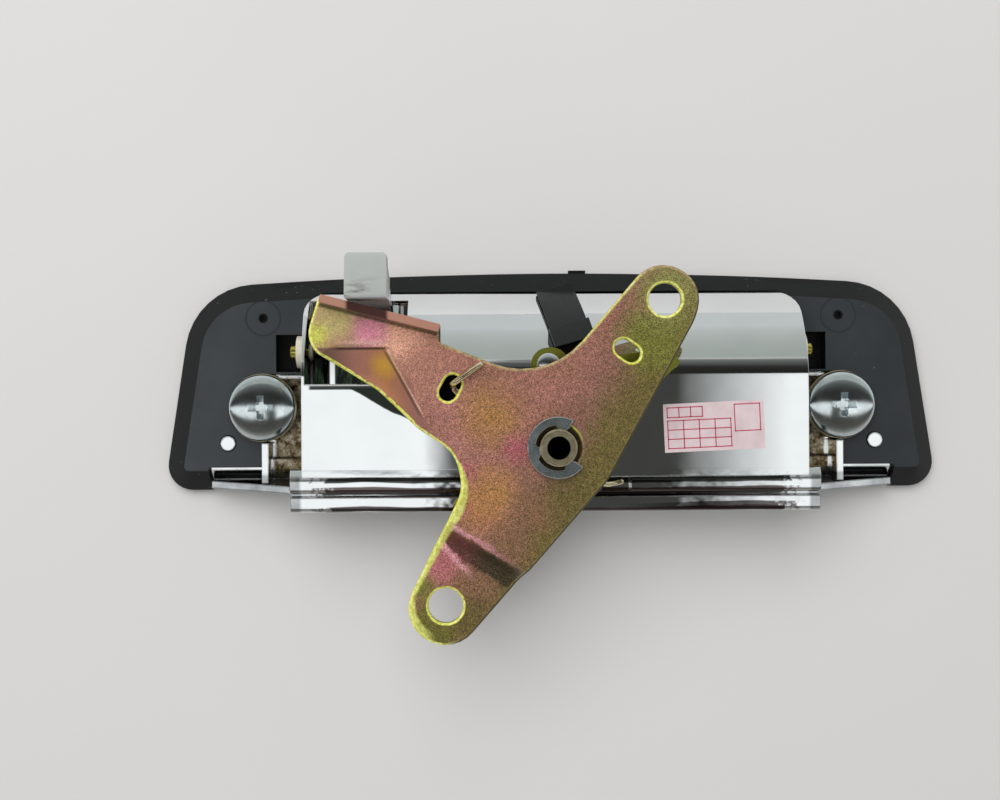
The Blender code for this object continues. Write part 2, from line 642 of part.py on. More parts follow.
def build_housing():
    housing = bezel_tray()
    join(housing, bucket_block(), lower_wall(), lip(), *housing_details())
    cut(housing, cavity())
    for x, y in bracket_screws_at().values():
        centre = (x, y, BUCKET_BACK_Z)
        hole_radius = BRACKET_SCREW_RADIUS + CLEARANCE
        cut(housing, cylinder("hole", hole_radius, -BRACKET_SCREW_LENGTH, OVERSHOOT, centre, 16))
    for side in (-1, 1):
        hole_radius = SCREW_SHANK_RADIUS + CLEARANCE
        hole_low = PAD_BACK_Z - SCREW_SHANK_LENGTH + WASHER_THICKNESS + CLEARANCE
        centre = (SCREW_X * side, SCREW_Y, 0.0)
        cut(housing, cylinder("hole", hole_radius, hole_low, PAD_BACK_Z + OVERSHOOT, centre, 24))
        outside = BUCKET_HALF_LENGTH + OVERSHOOT
        ends = sorted((side * (CAVITY_HALF_LENGTH - OVERSHOOT), side * outside))
        radius = BUSH_SLEEVE_RADIUS + CLEARANCE
        cut(housing, cylinder("pin_hole", radius, ends[0], ends[1], (0.0, HINGE_Y, HINGE_Z), 24, "X"))
    window_low = (WINDOW_LEFT, WINDOW_LOW, HINGE_Z)
    cut(housing, box("window", window_low, (WINDOW_RIGHT, WINDOW_TOP, BUCKET_BACK_Z + OVERSHOOT)))
    notch_low = (SPRING_NOTCH_LEFT, -LIP_GROOVE_Y + LIP_GROOVE_WIDTH, BUCKET_BACK_Z - SPRING_NOTCH_DEPTH)
    notch_high = (SPRING_NOTCH_RIGHT, -LIP_STEP_Y - CLEARANCE, BUCKET_BACK_Z + OVERSHOOT)
    cut(housing, box("notch", notch_low, notch_high))
    return finish(housing, make_material("plated_housing", (0.80, 0.81, 0.82), 0.12, 1.0))


def build_backing_pad():
    """Moulded pad between the bezel and the tailgate, open round the bucket and the hinge pin."""
    flat_z = PAD_BACK_Z - PAD_THICKNESS
    pad = dish("backing_pad", [
        (TRAY_INSET + TRAY_SLOPE_WIDTH - CLEARANCE, flat_z),
        (TRAY_INSET - 0.4 * MM, TRAY_EDGE + 0.2 * MM),
        (TRAY_INSET - 0.4 * MM, PAD_EDGE_LOW),
        (0.0, PAD_EDGE_LOW),
        (0.0, PAD_EDGE_TOP - 0.6 * MM),
        (0.5 * MM, PAD_EDGE_TOP),
        (PAD_RIM_WIDTH, PAD_BACK_Z),
    ])
    gate_low = (GATE_X - GATE_WIDTH / 2, PAD_TOP - 1.2 * MM, PAD_EDGE_LOW + 0.2 * MM)
    join(pad, box("gate", gate_low, (GATE_X + GATE_WIDTH / 2, PAD_TOP + 0.7 * MM, PAD_EDGE_TOP - 1.0 * MM)))
    high = PAD_BACK_Z + OVERSHOOT
    beside = BUCKET_HALF_LENGTH + 1.5 * CLEARANCE
    far_low = -PAD_BOTTOM - OVERSHOOT
    above = BUCKET_TOP_Y + CLEARANCE + OVERSHOOT * 0.1
    opening = bucket_plan(beside, above, far_low, BUCKET_CORNER_RADIUS + CLEARANCE)
    cut(pad, prism("bucket_hole", opening, 0.0, high))
    cut(pad, box("cut_out", (-PAD_CUTOUT_X, far_low, 0.0), (PAD_CUTOUT_X, PIN_WELL_LOW, high)))
    floor_z = FACE_THICKNESS + CLEARANCE
    well_wall = PIN_WELL_X + PIN_WELL_WALL
    well_top = PIN_WELL_TOP + PIN_WELL_WALL
    for side in (-1, 1):
        ends = sorted((side * beside, side * well_wall))
        well_high = (ends[1], well_top, PAD_BACK_Z - PAD_THICKNESS / 2)
        join(pad, box("well_wall", (ends[0], PIN_WELL_LOW, floor_z), well_high))
    well_floor = floor_z + PIN_WELL_FLOOR
    well_low = PIN_WELL_LOW + PIN_WELL_WALL / 2
    cut(pad, box("well", (-PIN_WELL_X, well_low, well_floor), (PIN_WELL_X, PIN_WELL_TOP, high)))
    cut(pad, box("notch", (-PAD_NOTCH_X, far_low, 0.0), (PAD_NOTCH_X, -PAD_NOTCH_Y, high)))
    for side in (-1, 1):
        boss = (SCREW_X * side, SCREW_Y, 0.0)
        peg = (PEG_X * side, PEG_Y, 0.0)
        dimple = (DIMPLE_X * side, DIMPLE_Y, 0.0)
        cut(pad, cylinder("boss_hole", BOSS_RADIUS + CLEARANCE, 0.0, high, boss, 32))
        cut(pad, cylinder("peg_hole", PEG_RADIUS + CLEARANCE, 0.0, high, peg, 24))
        cut(pad, cylinder("dimple", DIMPLE_RADIUS, PAD_BACK_Z - PAD_THICKNESS / 2, high, dimple, 12))
    return finish(pad, make_material("black_plastic", (0.045, 0.050, 0.054), 0.5, 0.0))


def paddle_section():
    """Side view (y, z) of the grip: curled free edge, flat front and the roll round the hinge."""
    outer_radius = HINGE_Z - PADDLE_FRONT_Z
    inner_radius = outer_radius - PADDLE_THICKNESS
    centre = (HINGE_Y, HINGE_Z)
    curl_radius = PADDLE_CURL / 2
    curl_centre = (PADDLE_FREE_EDGE_Y + curl_radius, PADDLE_FRONT_Z + curl_radius)
    outer_curl = arc(curl_centre, curl_radius, -math.pi / 2, -math.radians(210), 8)
    inner_curl = arc(curl_centre, curl_radius - PADDLE_THICKNESS, -math.radians(210), -math.pi / 2, 6)
    outer_roll = arc(centre, outer_radius, math.radians(10), -math.pi / 2, 10)
    inner_roll = arc(centre, inner_radius, -math.pi / 2, math.radians(10), 8)
    return outer_roll + outer_curl + inner_curl + inner_roll


def paddle_cheek():
    """Side view of the end cheek, from the grip up to the hub."""
    outer_radius = HINGE_Z - PADDLE_FRONT_Z
    centre = (HINGE_Y, HINGE_Z)
    front = arc(centre, outer_radius, math.radians(10), -math.pi / 2, 8)
    hub = arc(centre, PADDLE_HUB_RADIUS, math.radians(150), math.radians(40), 6)
    edge_y = PADDLE_FREE_EDGE_Y + PADDLE_CURL / 2
    back_z = PADDLE_FRONT_Z + PADDLE_THICKNESS
    edge = [(edge_y, PADDLE_FRONT_Z), (edge_y, back_z), (edge_y + PADDLE_CURL, back_z + MACHINING)]
    return front + edge + hub


def lever_section():
    """Side view of the lever that leaves the grip, passes the window and bears on the bell crank."""
    tip_y = LEVER_FACE_Y + LEVER_TIP_DEPTH
    tip_top = LEVER_TIP_Z - LEVER_TIP_SLOPE
    edge = LEVER_TIP_THICKNESS / 3
    roll = HINGE_Z - PADDLE_FRONT_Z - CLEARANCE
    return [
        (HINGE_Y, HINGE_Z - roll),
        (HINGE_Y + roll * 0.55, HINGE_Z - roll * 0.75),
        (HINGE_Y + roll * 0.9, HINGE_Z - roll * 0.2),
        (LEVER_FACE_Y + 2.0 * MM, BUCKET_BACK_Z - 7.5 * MM),
        (LEVER_FACE_Y + 6.5 * MM, LEVER_FACE_Z - 5.0 * MM),
        (LEVER_FACE_Y + 10.0 * MM, LEVER_TIP_Z - 7.5 * MM),
        (tip_y, tip_top - LEVER_TIP_THICKNESS),
        (tip_y, tip_top - edge),
        (tip_y - edge * 0.3, tip_top - edge * 0.3),
        (tip_y - edge, tip_top),
        (LEVER_FACE_Y + LEVER_TIP_DEPTH / 2, LEVER_TIP_Z - LEVER_TIP_SLOPE * 0.3),
        (LEVER_FACE_Y + edge, LEVER_TIP_Z),
        (LEVER_FACE_Y + edge * 0.3, LEVER_TIP_Z - edge * 0.3),
        (LEVER_FACE_Y, LEVER_TIP_Z - edge),
        (LEVER_FACE_Y, LEVER_FACE_Z),
        (LEVER_FACE_Y - 4.0 * MM, BUCKET_BACK_Z),
        (HINGE_Y - PADDLE_HUB_RADIUS * 0.4, HINGE_Z + PADDLE_HUB_RADIUS * 1.1),
        (HINGE_Y - PADDLE_HUB_RADIUS, HINGE_Z),
    ]


def build_paddle():
    paddle = prism("paddle", paddle_section(), -PADDLE_HALF_LENGTH, PADDLE_HALF_LENGTH, "X")
    for side in (-1, 1):
        ends = sorted((side * PADDLE_HALF_LENGTH, side * (PADDLE_HALF_LENGTH - PADDLE_CHEEK)))
        join(paddle, prism("cheek", paddle_cheek(), ends[0], ends[1], "X"))
    join(paddle, prism("lever", lever_section(), LEVER_LEFT, LEVER_RIGHT, "X"))
    reach = PADDLE_HALF_LENGTH + OVERSHOOT
    bore = PIN_RADIUS + CLEARANCE
    cut(paddle, cylinder("bore", bore, -reach, reach, (0.0, HINGE_Y, HINGE_Z), 20, "X"))
    material = make_material("plated_paddle", (0.80, 0.81, 0.82), 0.12, 1.0)
    return finish(paddle, material, (0.0, HINGE_Y, HINGE_Z))


def build_hinge_pin():
    shaft_end = BUCKET_HALF_LENGTH + BUSH_FLANGE + 2 * CLEARANCE
    head_end = shaft_end + PIN_HEAD_LENGTH
    profile = [
        (0.0, -head_end),
        (PIN_HEAD_RADIUS * 0.8, -head_end),
        (PIN_HEAD_RADIUS, -head_end + PIN_HEAD_LENGTH * 0.2),
        (PIN_HEAD_RADIUS, -shaft_end),
        (PIN_RADIUS, -shaft_end),
        (PIN_RADIUS, shaft_end),
        (PIN_HEAD_RADIUS, shaft_end),
        (PIN_HEAD_RADIUS, head_end - PIN_HEAD_LENGTH * 0.2),
        (PIN_HEAD_RADIUS * 0.8, head_end),
        (0.0, head_end),
    ]
    pin = turned("hinge_pin", profile, (0.0, HINGE_Y, HINGE_Z), 20, "X")
    return finish(pin, make_material("zinc_pin", (0.62, 0.56, 0.28), 0.35, 1.0))


def build_pin_bushes():
    material = make_material("nylon", (0.82, 0.78, 0.66), 0.5, 0.0)
    bore = PIN_RADIUS + CLEARANCE
    for name, side in (("pin_bush_left", -1), ("pin_bush_right", 1)):
        inner = side * CAVITY_HALF_LENGTH
        seat = side * (BUCKET_HALF_LENGTH + CLEARANCE)
        outer = seat + side * BUSH_FLANGE
        profile = [(bore, inner), (BUSH_SLEEVE_RADIUS, inner), (BUSH_SLEEVE_RADIUS, seat)]
        profile += [(BUSH_RADIUS, seat), (BUSH_RADIUS, outer), (bore, outer)]
        finish(turned(name, profile, (0.0, HINGE_Y, HINGE_Z), 24, "X"), material.copy())


def build_paddle_stops():
    material = make_material("stop_rubber", (0.03, 0.03, 0.03), 0.8, 0.0)
    low = PADDLE_FRONT_Z + PADDLE_THICKNESS + CLEARANCE
    for name, side in (("paddle_stop_left", -1), ("paddle_stop_right", 1)):
        centre = (side * (CAVITY_HALF_LENGTH - STOP_LEDGE_WIDTH / 2), STOP_Y, 0.0)
        profile = [(0.0, low), (STOP_RADIUS * 0.7, low), (STOP_RADIUS, low + STOP_HEIGHT * 0.3)]
        profile += [(STOP_RADIUS, low + STOP_HEIGHT), (0.0, low + STOP_HEIGHT)]
        finish(turned(name, profile, centre, 16), material.copy())


def cross_recess(centre, top):
    """Cutter for a cross recess that narrows downwards."""
    x, y = centre
    pieces = []
    for long_x, long_y in ((RECESS_SPAN, RECESS_WIDTH), (RECESS_WIDTH, RECESS_SPAN)):
        rings = []
        for height, share in ((top - RECESS_DEPTH, 0.45), (top + OVERSHOOT, 1.25)):
            half_x = long_x / 2 * (share if long_x > long_y else 1.0)
            half_y = long_y / 2 * (share if long_y > long_x else 1.0)
            rings.append([
                (x - half_x, y - half_y, height),
                (x + half_x, y - half_y, height),
                (x + half_x, y + half_y, height),
                (x - half_x, y + half_y, height),
            ])
        pieces.append(loft("recess", rings))
    rings = []
    for height, share in ((top - RECESS_DEPTH * 0.8, 0.5), (top + OVERSHOOT, 1.25)):
        rings.append([(px, py, height) for px, py in circle(centre, RECESS_STAR * share, 4)])
    pieces.append(loft("star", rings))
    return pieces


def build_mounting_screws():
    steel = make_material("zinc_screw", (0.66, 0.70, 0.74), 0.22, 1.0)
    plain = make_material("zinc_washer", (0.66, 0.60, 0.40), 0.35, 1.0)
    washer_z = PAD_BACK_Z + CLEARANCE
    head_z = washer_z + WASHER_THICKNESS + CLEARANCE
    dome = SCREW_HEAD_HEIGHT - SCREW_EDGE
    for end, side in (("left", -1), ("right", 1)):
        centre = (SCREW_X * side, SCREW_Y, 0.0)
        profile = [(0.0, head_z - SCREW_SHANK_LENGTH), (SCREW_SHANK_RADIUS, head_z - SCREW_SHANK_LENGTH)]
        profile += [(SCREW_SHANK_RADIUS, head_z), (SCREW_HEAD_RADIUS - CLEARANCE, head_z)]
        for step in range(9):
            angle = math.pi / 2 * step / 8
            height = head_z + SCREW_EDGE + dome * math.sin(angle)
            profile.append((SCREW_HEAD_RADIUS * math.cos(angle), height))
        profile[-1] = (0.0, head_z + SCREW_HEAD_HEIGHT)
        screw = turned(f"mounting_screw_{end}", profile, centre, 40)
        cut(screw, *cross_recess(centre[:2], head_z + SCREW_HEAD_HEIGHT))
        finish(screw, steel.copy())
        bore = SCREW_SHANK_RADIUS + CLEARANCE
        top = washer_z + WASHER_THICKNESS
        ring = [(bore, washer_z), (WASHER_RADIUS, washer_z), (WASHER_RADIUS, top), (bore, top)]
        finish(turned(f"screw_washer_{end}", ring, centre, 40), plain.copy())


def build_pivot_bracket():
    """Flat bracket on the back of the bucket that carries the pivot post."""
    top_x, top_y = BRACKET_SCREW_TOP
    left_x, left_y = BRACKET_SCREW_LEFT
    ear = BRACKET_SCREW_HEAD_RADIUS + BRACKET_EAR
    low_y = -LIP_STEP_Y + BRACKET_LOW_GAP
    outline = rounded([
        (top_x - ear, top_y + ear, ear * 0.98),
        (top_x - ear, top_y - ear, 4.0 * MM),
        (left_x - ear, left_y + ear, 2.0 * MM),
        (left_x - ear, left_y - ear, ear * 0.8),
        (PIVOT_X - POST_FLANGE_RADIUS, low_y, 3.0 * MM),
        (PIVOT_X + POST_FLANGE_RADIUS + 2.0 * MM, low_y, 6.0 * MM),
        TONGUE_LOW,
        TONGUE_TIP,
        TONGUE_TOP,
        TONGUE_SHOULDER,
        TONGUE_ROOT,
        (top_x + ear + 2.0 * MM, top_y - 4.0 * MM, 1.5 * MM),
        (top_x + ear, top_y + ear, ear * 0.98),
    ])
    bracket = prism("pivot_bracket", outline, BRACKET_Z, BRACKET_TOP_Z)
    low = BRACKET_Z - OVERSHOOT
    high = BRACKET_TOP_Z + OVERSHOOT
    for x, y in bracket_screws_at().values():
        radius = BRACKET_SCREW_RADIUS + CLEARANCE
        cut(bracket, cylinder("hole", radius, low, high, (x, y, 0.0), 16))
    radius = POST_RADIUS + CLEARANCE
    cut(bracket, cylinder("seat", radius, low, high, (PIVOT_X, PIVOT_Y, 0.0), 32))
    return finish(bracket, make_material("zinc_bracket", (0.60, 0.55, 0.20), 0.38, 1.0))


def build_bracket_screws():
    material = make_material("bracket_screw_zinc", (0.70, 0.72, 0.74), 0.28, 1.0)
    head_z = BRACKET_TOP_Z + CLEARANCE
    for end, (x, y) in bracket_screws_at().items():
        tip_z = BUCKET_BACK_Z - BRACKET_SCREW_LENGTH + 2 * CLEARANCE
        profile = [(0.0, tip_z), (BRACKET_SCREW_RADIUS, tip_z), (BRACKET_SCREW_RADIUS, head_z)]
        profile += [(BRACKET_SCREW_HEAD_RADIUS, head_z)]
        for step in range(6):
            angle = math.pi / 2 * step / 5
            height = head_z + BRACKET_SCREW_HEAD_HEIGHT * (0.3 + 0.7 * math.sin(angle))
            profile.append((BRACKET_SCREW_HEAD_RADIUS * math.cos(angle), height))
        profile[-1] = (0.0, head_z + BRACKET_SCREW_HEAD_HEIGHT)
        finish(turned(f"bracket_screw_{end}", profile, (x, y, 0.0), 20), material.copy())


def build_pivot_post():
    """Hollow post, with a flange on the bracket and a groove for the clip."""
    flange_z = BRACKET_TOP_Z + CLEARANCE
    groove_low = CLIP_Z - CLEARANCE
    groove_high = CLIP_Z + CLIP_THICKNESS + CLEARANCE
    chamfer = 0.5 * MM
    profile = [
        (POST_BORE_RADIUS, BRACKET_Z),
        (POST_RADIUS, BRACKET_Z),
        (POST_RADIUS, flange_z),
        (POST_FLANGE_RADIUS, flange_z),
        (POST_FLANGE_RADIUS, POST_FLANGE_TOP_Z),
        (POST_RADIUS, POST_FLANGE_TOP_Z),
        (POST_RADIUS, groove_low),
        (POST_GROOVE_RADIUS, groove_low),
        (POST_GROOVE_RADIUS, groove_high),
        (POST_RADIUS, groove_high),
        (POST_RADIUS, POST_TOP_Z - chamfer),
        (POST_RADIUS - chamfer, POST_TOP_Z),
        (POST_BORE_RADIUS, POST_TOP_Z),
    ]
    post = turned("pivot_post", profile, (PIVOT_X, PIVOT_Y, 0.0), 32)
    return finish(post, make_material("post_steel", (0.62, 0.58, 0.50), 0.3, 1.0))


def build_pivot_rings():
    """Bush inside the bell crank and the washer between the crank and the spring."""
    bore = POST_RADIUS + CLEARANCE
    pivot = (PIVOT_X, PIVOT_Y, 0.0)
    ring = [(bore, CRANK_Z), (PIVOT_BUSH_RADIUS, CRANK_Z)]
    ring += [(PIVOT_BUSH_RADIUS, PIVOT_BUSH_TOP_Z), (bore, PIVOT_BUSH_TOP_Z)]
    finish(turned("pivot_bush", ring, pivot, 32), make_material("bush_bronze", (0.45, 0.34, 0.20), 0.5, 1.0))
    top = THRUST_WASHER_Z + THRUST_WASHER_THICKNESS
    rim = THRUST_WASHER_RADIUS
    ring = [(bore, THRUST_WASHER_Z), (rim, THRUST_WASHER_Z), (rim, top), (bore, top)]
    washer = turned("thrust_washer", ring, pivot, 32)
    finish(washer, make_material("washer_steel", (0.62, 0.63, 0.62), 0.35, 1.0))


def build_e_clip():
    """Snap ring in the groove of the post, with three prongs and an open mouth."""
    mouth = math.radians(CLIP_MOUTH_DEG)
    ring_inner = CLIP_RADIUS - CLIP_RING_WIDTH
    seat = POST_GROOVE_RADIUS + CLEARANCE
    prong_half = math.radians(16)
    inner = []
    steps = 44
    sweep = math.tau - 2 * mouth
    prongs = (mouth + prong_half, math.pi, math.tau - mouth - prong_half)
    for step in range(steps + 1):
        angle = math.tau - mouth - sweep * step / steps
        nearest = min(abs(angle - centre) for centre in prongs)
        inner.append((angle, seat if nearest <= prong_half else ring_inner))
    outline = arc((0.0, 0.0), CLIP_RADIUS, mouth, math.tau - mouth, 44)
    outline += [(radius * math.cos(angle), radius * math.sin(angle)) for angle, radius in inner]
    clip = prism("e_clip", outline, CLIP_Z, CLIP_Z + CLIP_THICKNESS)
    clip.data.transform(Matrix.Rotation(math.radians(CLIP_TURN_DEG), 4, "Z"))
    clip.data.transform(Matrix.Translation((PIVOT_X, PIVOT_Y, 0.0)))
    return finish(clip, make_material("clip_steel", (0.68, 0.71, 0.74), 0.2, 1.0))


def tube_along(name, points, radius):
    """Round wire along a line of points, as a curve with filled ends turned into a mesh."""
    curve = bpy.data.curves.new(name, "CURVE")
    curve.dimensions = "3D"
    curve.bevel_depth = radius
    curve.bevel_resolution = 3
    curve.use_fill_caps = True
    spline = curve.splines.new("POLY")
    spline.points.add(len(points) - 1)
    for target, point in zip(spline.points, points):
        target.co = (*point, 1.0)
    item = bpy.data.objects.new(name, curve)
    bpy.context.collection.objects.link(item)
    depsgraph = bpy.context.evaluated_depsgraph_get()
    mesh = bpy.data.meshes.new_from_object(item.evaluated_get(depsgraph))
    bpy.data.objects.remove(item, do_unlink=True)
    bm = bmesh.new()
    bm.from_mesh(mesh)
    bmesh.ops.remove_doubles(bm, verts=bm.verts, dist=0.001 * MM)
    return add_mesh(name, bm)


def smooth_path(points, count):
    """Catmull-Rom curve through points, count steps between neighbours."""
    ends = [2 * points[0] - points[1]] + points + [2 * points[-1] - points[-2]]
    path = []
    for index in range(1, len(ends) - 2):
        before, start, end, after = ends[index - 1:index + 3]
        for step in range(count):
            t = step / count
            path.append(0.5 * (
                2 * start
                + (end - before) * t
                + (2 * before - 5 * start + 4 * end - after) * t * t
                + (3 * start - before - 3 * end + after) * t ** 3
            ))
    path.append(points[-1])
    return path


def build_return_spring():
    """Torsion spring round the post: one leg in the lip's notch, the other through the crank's slot."""
    slot = Vector((*SLOT_LEFT, 0.0))
    pivot = Vector((PIVOT_X, PIVOT_Y, 0.0))
    turn_start = math.radians(-18)
    turn_end = turn_start + math.tau * SPRING_TURNS
    coil = []
    steps = 36
    for step in range(steps + 1):
        angle = turn_start + (turn_end - turn_start) * step / steps
        height = SPRING_LOW_Z + SPRING_RISE * step / steps
        spoke = Vector((math.cos(angle), math.sin(angle), 0.0)) * SPRING_COIL_RADIUS
        coil.append(pivot + spoke + Vector((0.0, 0.0, height)))
    notch_z = BUCKET_BACK_Z - SPRING_NOTCH_DEPTH + SPRING_WIRE_RADIUS + CLEARANCE
    lip_y = -LIP_STEP_Y - SPRING_WIRE_RADIUS - 2 * CLEARANCE
    lip_leg = [
        Vector((SPRING_NOTCH_RIGHT - 2.1 * MM, lip_y - 0.1 * MM, notch_z)),
        Vector((SPRING_NOTCH_LEFT + 4.0 * MM, lip_y - 0.7 * MM, notch_z + 0.1 * MM)),
        Vector((SPRING_NOTCH_LEFT + 0.6 * MM, lip_y - 0.6 * MM, BUCKET_BACK_Z + 1.6 * MM)),
        Vector((SPRING_NOTCH_LEFT - 3.2 * MM, lip_y + 2.6 * MM, SPRING_LOW_Z - 1.0 * MM)),
    ]
    rest_z = CRANK_TOP_Z + SPRING_WIRE_RADIUS + CLEARANCE
    crank_leg = [
        slot + Vector((4.4 * MM, -2.6 * MM, SPRING_HIGH_Z)),
        slot + Vector((0.9 * MM, 0.3 * MM, SPRING_HIGH_Z + 1.0 * MM)),
        slot + Vector((0.5 * MM, 1.0 * MM, CRANK_Z + CRANK_THICKNESS * 0.6)),
        slot + Vector((2.2 * MM, 2.2 * MM, rest_z + 0.3 * MM)),
        slot + Vector((9.6 * MM, 7.2 * MM, rest_z)),
    ]
    path = smooth_path(lip_leg + [coil[0]], 4)[:-1] + coil + smooth_path([coil[-1]] + crank_leg, 4)[1:]
    return finish(tube_along("return_spring", path, SPRING_WIRE_RADIUS), make_material(
        "spring_wire", (0.50, 0.40, 0.22), 0.4, 1.0))


def crank_outline():
    """Plan of the bell crank, anticlockwise from the end of its upstanding flange."""
    return rounded([
        (*FLANGE_LEFT, 1.6 * MM),
        CRANK_LEFT_TIP,
        CRANK_SCOOP_EDGE,
        CRANK_HIP,
        CRANK_WAIST,
        CRANK_THIGH,
        LOWER_TIP_LEFT,
        LOWER_TIP_RIGHT,
        CRANK_RIGHT_HIP,
        CRANK_RIGHT_EDGE,
        UPPER_TIP_RIGHT,
        UPPER_TIP_LEFT,
        CRANK_SADDLE,
        (FLANGE_RIGHT[0], FLANGE_ROOT_Y, 0.8 * MM),
        (*FLANGE_RIGHT, 0.6 * MM),
    ], 7)


def smoothstep(value):
    value = min(max(value, 0.0), 1.0)
    return value * value * (3 - 2 * value)


def crank_drop(x, y):
    """How far the formed sheet lies below its flat middle at a place: the joggle and the scoop.

    The scoop starts at a crease and levels out towards its floor.
    """
    along = x * JOGGLE_NORMAL[0] + y * JOGGLE_NORMAL[1]
    joggle = JOGGLE_DROP * smoothstep((along - JOGGLE_START) / (JOGGLE_END - JOGGLE_START))
    reach = math.hypot(x - SCOOP_CENTRE[0], y - SCOOP_CENTRE[1]) / SCOOP_RADIUS
    down = min(max((1.0 - reach) / SCOOP_SLOPE_SHARE, 0.0), 1.0)
    return joggle + SCOOP_DEPTH * down * (2.0 - down)


def split_lines(bm, normal, distances, low, high):
    """Add edges along parallel lines to the faces inside a plan box, so that the sheet can be formed."""
    for distance in distances:
        faces = []
        for face in bm.faces:
            centre = face.calc_center_median()
            if low[0] < centre.x < high[0] and low[1] < centre.y < high[1]:
                faces.append(face)
        geometry = list({vert for face in faces for vert in face.verts})
        geometry += list({edge for face in faces for edge in face.edges})
        geometry += faces
        place = Vector(normal) * distance
        bmesh.ops.bisect_plane(bm, geom=geometry, plane_co=place, plane_no=normal, dist=0.001 * MM)


def form_crank(crank):
    """Press the joggle and the scoop into the flat blank."""
    bm = bmesh.new()
    bm.from_mesh(crank.data)
    everywhere = ((-1.0, -1.0), (1.0, 1.0))
    joggle = (JOGGLE_NORMAL[0], JOGGLE_NORMAL[1], 0.0)
    span = JOGGLE_END - JOGGLE_START
    split_lines(bm, joggle, [JOGGLE_START + span * step / 6 for step in range(7)], *everywhere)
    left = SCOOP_CENTRE[0] - SCOOP_RADIUS
    low = SCOOP_CENTRE[1] - SCOOP_RADIUS / 2
    right = SCOOP_CENTRE[0] + SCOOP_RADIUS
    high = SCOOP_CENTRE[1] + SCOOP_RADIUS
    split_lines(bm, (1.0, 0.0, 0.0), [left, right], *everywhere)
    split_lines(bm, (0.0, 1.0, 0.0), [low, high], (left, -1.0), (right, 1.0))
    count = 12
    columns = [left + (right - left) * step / count for step in range(1, count)]
    rows = [low + (high - low) * step / count for step in range(1, count)]
    split_lines(bm, (1.0, 0.0, 0.0), columns, (left, low), (right, high))
    split_lines(bm, (0.0, 1.0, 0.0), rows, (left, low), (right, high))
    for vert in bm.verts:
        vert.co.z -= crank_drop(vert.co.x, vert.co.y)
    bmesh.ops.triangulate(bm, faces=bm.faces)
    bm.to_mesh(crank.data)
    bm.free()


def slot_outline(centre):
    """Slot whose length runs round the pivot."""
    offset = Vector(centre) - Vector((PIVOT_X, PIVOT_Y))
    turn = math.atan2(offset.y, offset.x) + math.pi / 2
    half = (SLOT_LENGTH - SLOT_WIDTH) / 2
    along = Vector((math.cos(turn), math.sin(turn))) * half
    ahead = Vector(centre) + along
    behind = Vector(centre) - along
    outline = arc(ahead, SLOT_WIDTH / 2, turn - math.pi / 2, turn + math.pi / 2, 8)
    return outline + arc(behind, SLOT_WIDTH / 2, turn + math.pi / 2, turn + 3 * math.pi / 2, 8)


def crank_flange():
    """Upstanding flange that the paddle's lever pushes."""
    left = Vector(FLANGE_LEFT)
    right = Vector(FLANGE_RIGHT)
    along = (right - left).normalized()
    inward = Vector((along.y, -along.x)) * FLANGE_THICKNESS
    start = left + along * 1.2 * MM
    outline = [tuple(start + inward), tuple(right + inward), tuple(right), tuple(start)]
    return prism("flange", outline, CRANK_Z + CRANK_THICKNESS / 4, CRANK_TOP_Z + FLANGE_RISE)


def build_bell_crank():
    crank = prism("bell_crank", crank_outline(), CRANK_Z, CRANK_TOP_Z)
    low = CRANK_Z - OVERSHOOT
    high = CRANK_TOP_Z + OVERSHOOT
    pivot = (PIVOT_X, PIVOT_Y, 0.0)
    cut(crank, cylinder("pivot_hole", PIVOT_BUSH_RADIUS + CLEARANCE, low, high, pivot, 32))
    cut(crank, cylinder("upper_hole", UPPER_ROD_RADIUS, low, high, (*UPPER_ROD_HOLE, 0.0), 28))
    cut(crank, cylinder("lower_hole", LOWER_ROD_RADIUS, low, high, (*LOWER_ROD_HOLE, 0.0), 28))
    for centre in (SLOT_LEFT, SLOT_RIGHT):
        cut(crank, prism("slot", slot_outline(centre), low, high))
    form_crank(crank)
    join(crank, crank_flange())
    material = make_material("yellow_zinc", (0.62, 0.45, 0.30), 0.32, 1.0)
    return finish(crank, material, (PIVOT_X, PIVOT_Y, CRANK_TOP_Z))


def strap_plan(width, start, end):
    """Upright prism over a length of the strap, which leans across the handle."""
    box_shape = box("strap_plan", (-width / 2, -end, 0.0), (width / 2, -start, LEVER_TIP_Z))
    box_shape.data.transform(Matrix.Rotation(math.radians(STRAP_ANGLE_DEG), 4, "Z"))
    box_shape.data.transform(Matrix.Translation((*STRAP_TOP, 0.0)))
    return box_shape


def build_stop_strap():
    """Black strap from the pad across the curved wall, with a thick block at its lower end."""
    seat = -2 * CLEARANCE
    foot = PAD_BACK_Z + CLEARANCE
    far = STRAP_TOP[1] + STRAP_WIDTH
    half = STRAP_LENGTH + STRAP_WIDTH
    under = [(far, foot)] + curved_wall(seat)
    over = [(far, foot + STRAP_THICKNESS)] + curved_wall(seat - STRAP_THICKNESS)[1:]
    strap = prism("stop_strap", under + list(reversed(over)), -half, half, "X")
    boolean(strap, strap_plan(STRAP_WIDTH, 0.0, STRAP_LENGTH), "INTERSECT")
    under = curved_wall(seat - MACHINING)
    over = curved_wall(seat - STRAP_BLOCK_HEIGHT)
    block = prism("block", under + list(reversed(over)), -half, half, "X")
    block_start = STRAP_LENGTH - STRAP_BLOCK_LENGTH
    boolean(block, strap_plan(STRAP_BLOCK_WIDTH, block_start, STRAP_LENGTH + CLEARANCE), "INTERSECT")
    join(strap, block)
    return finish(strap, make_material("black_strap", (0.03, 0.03, 0.035), 0.45, 0.0))


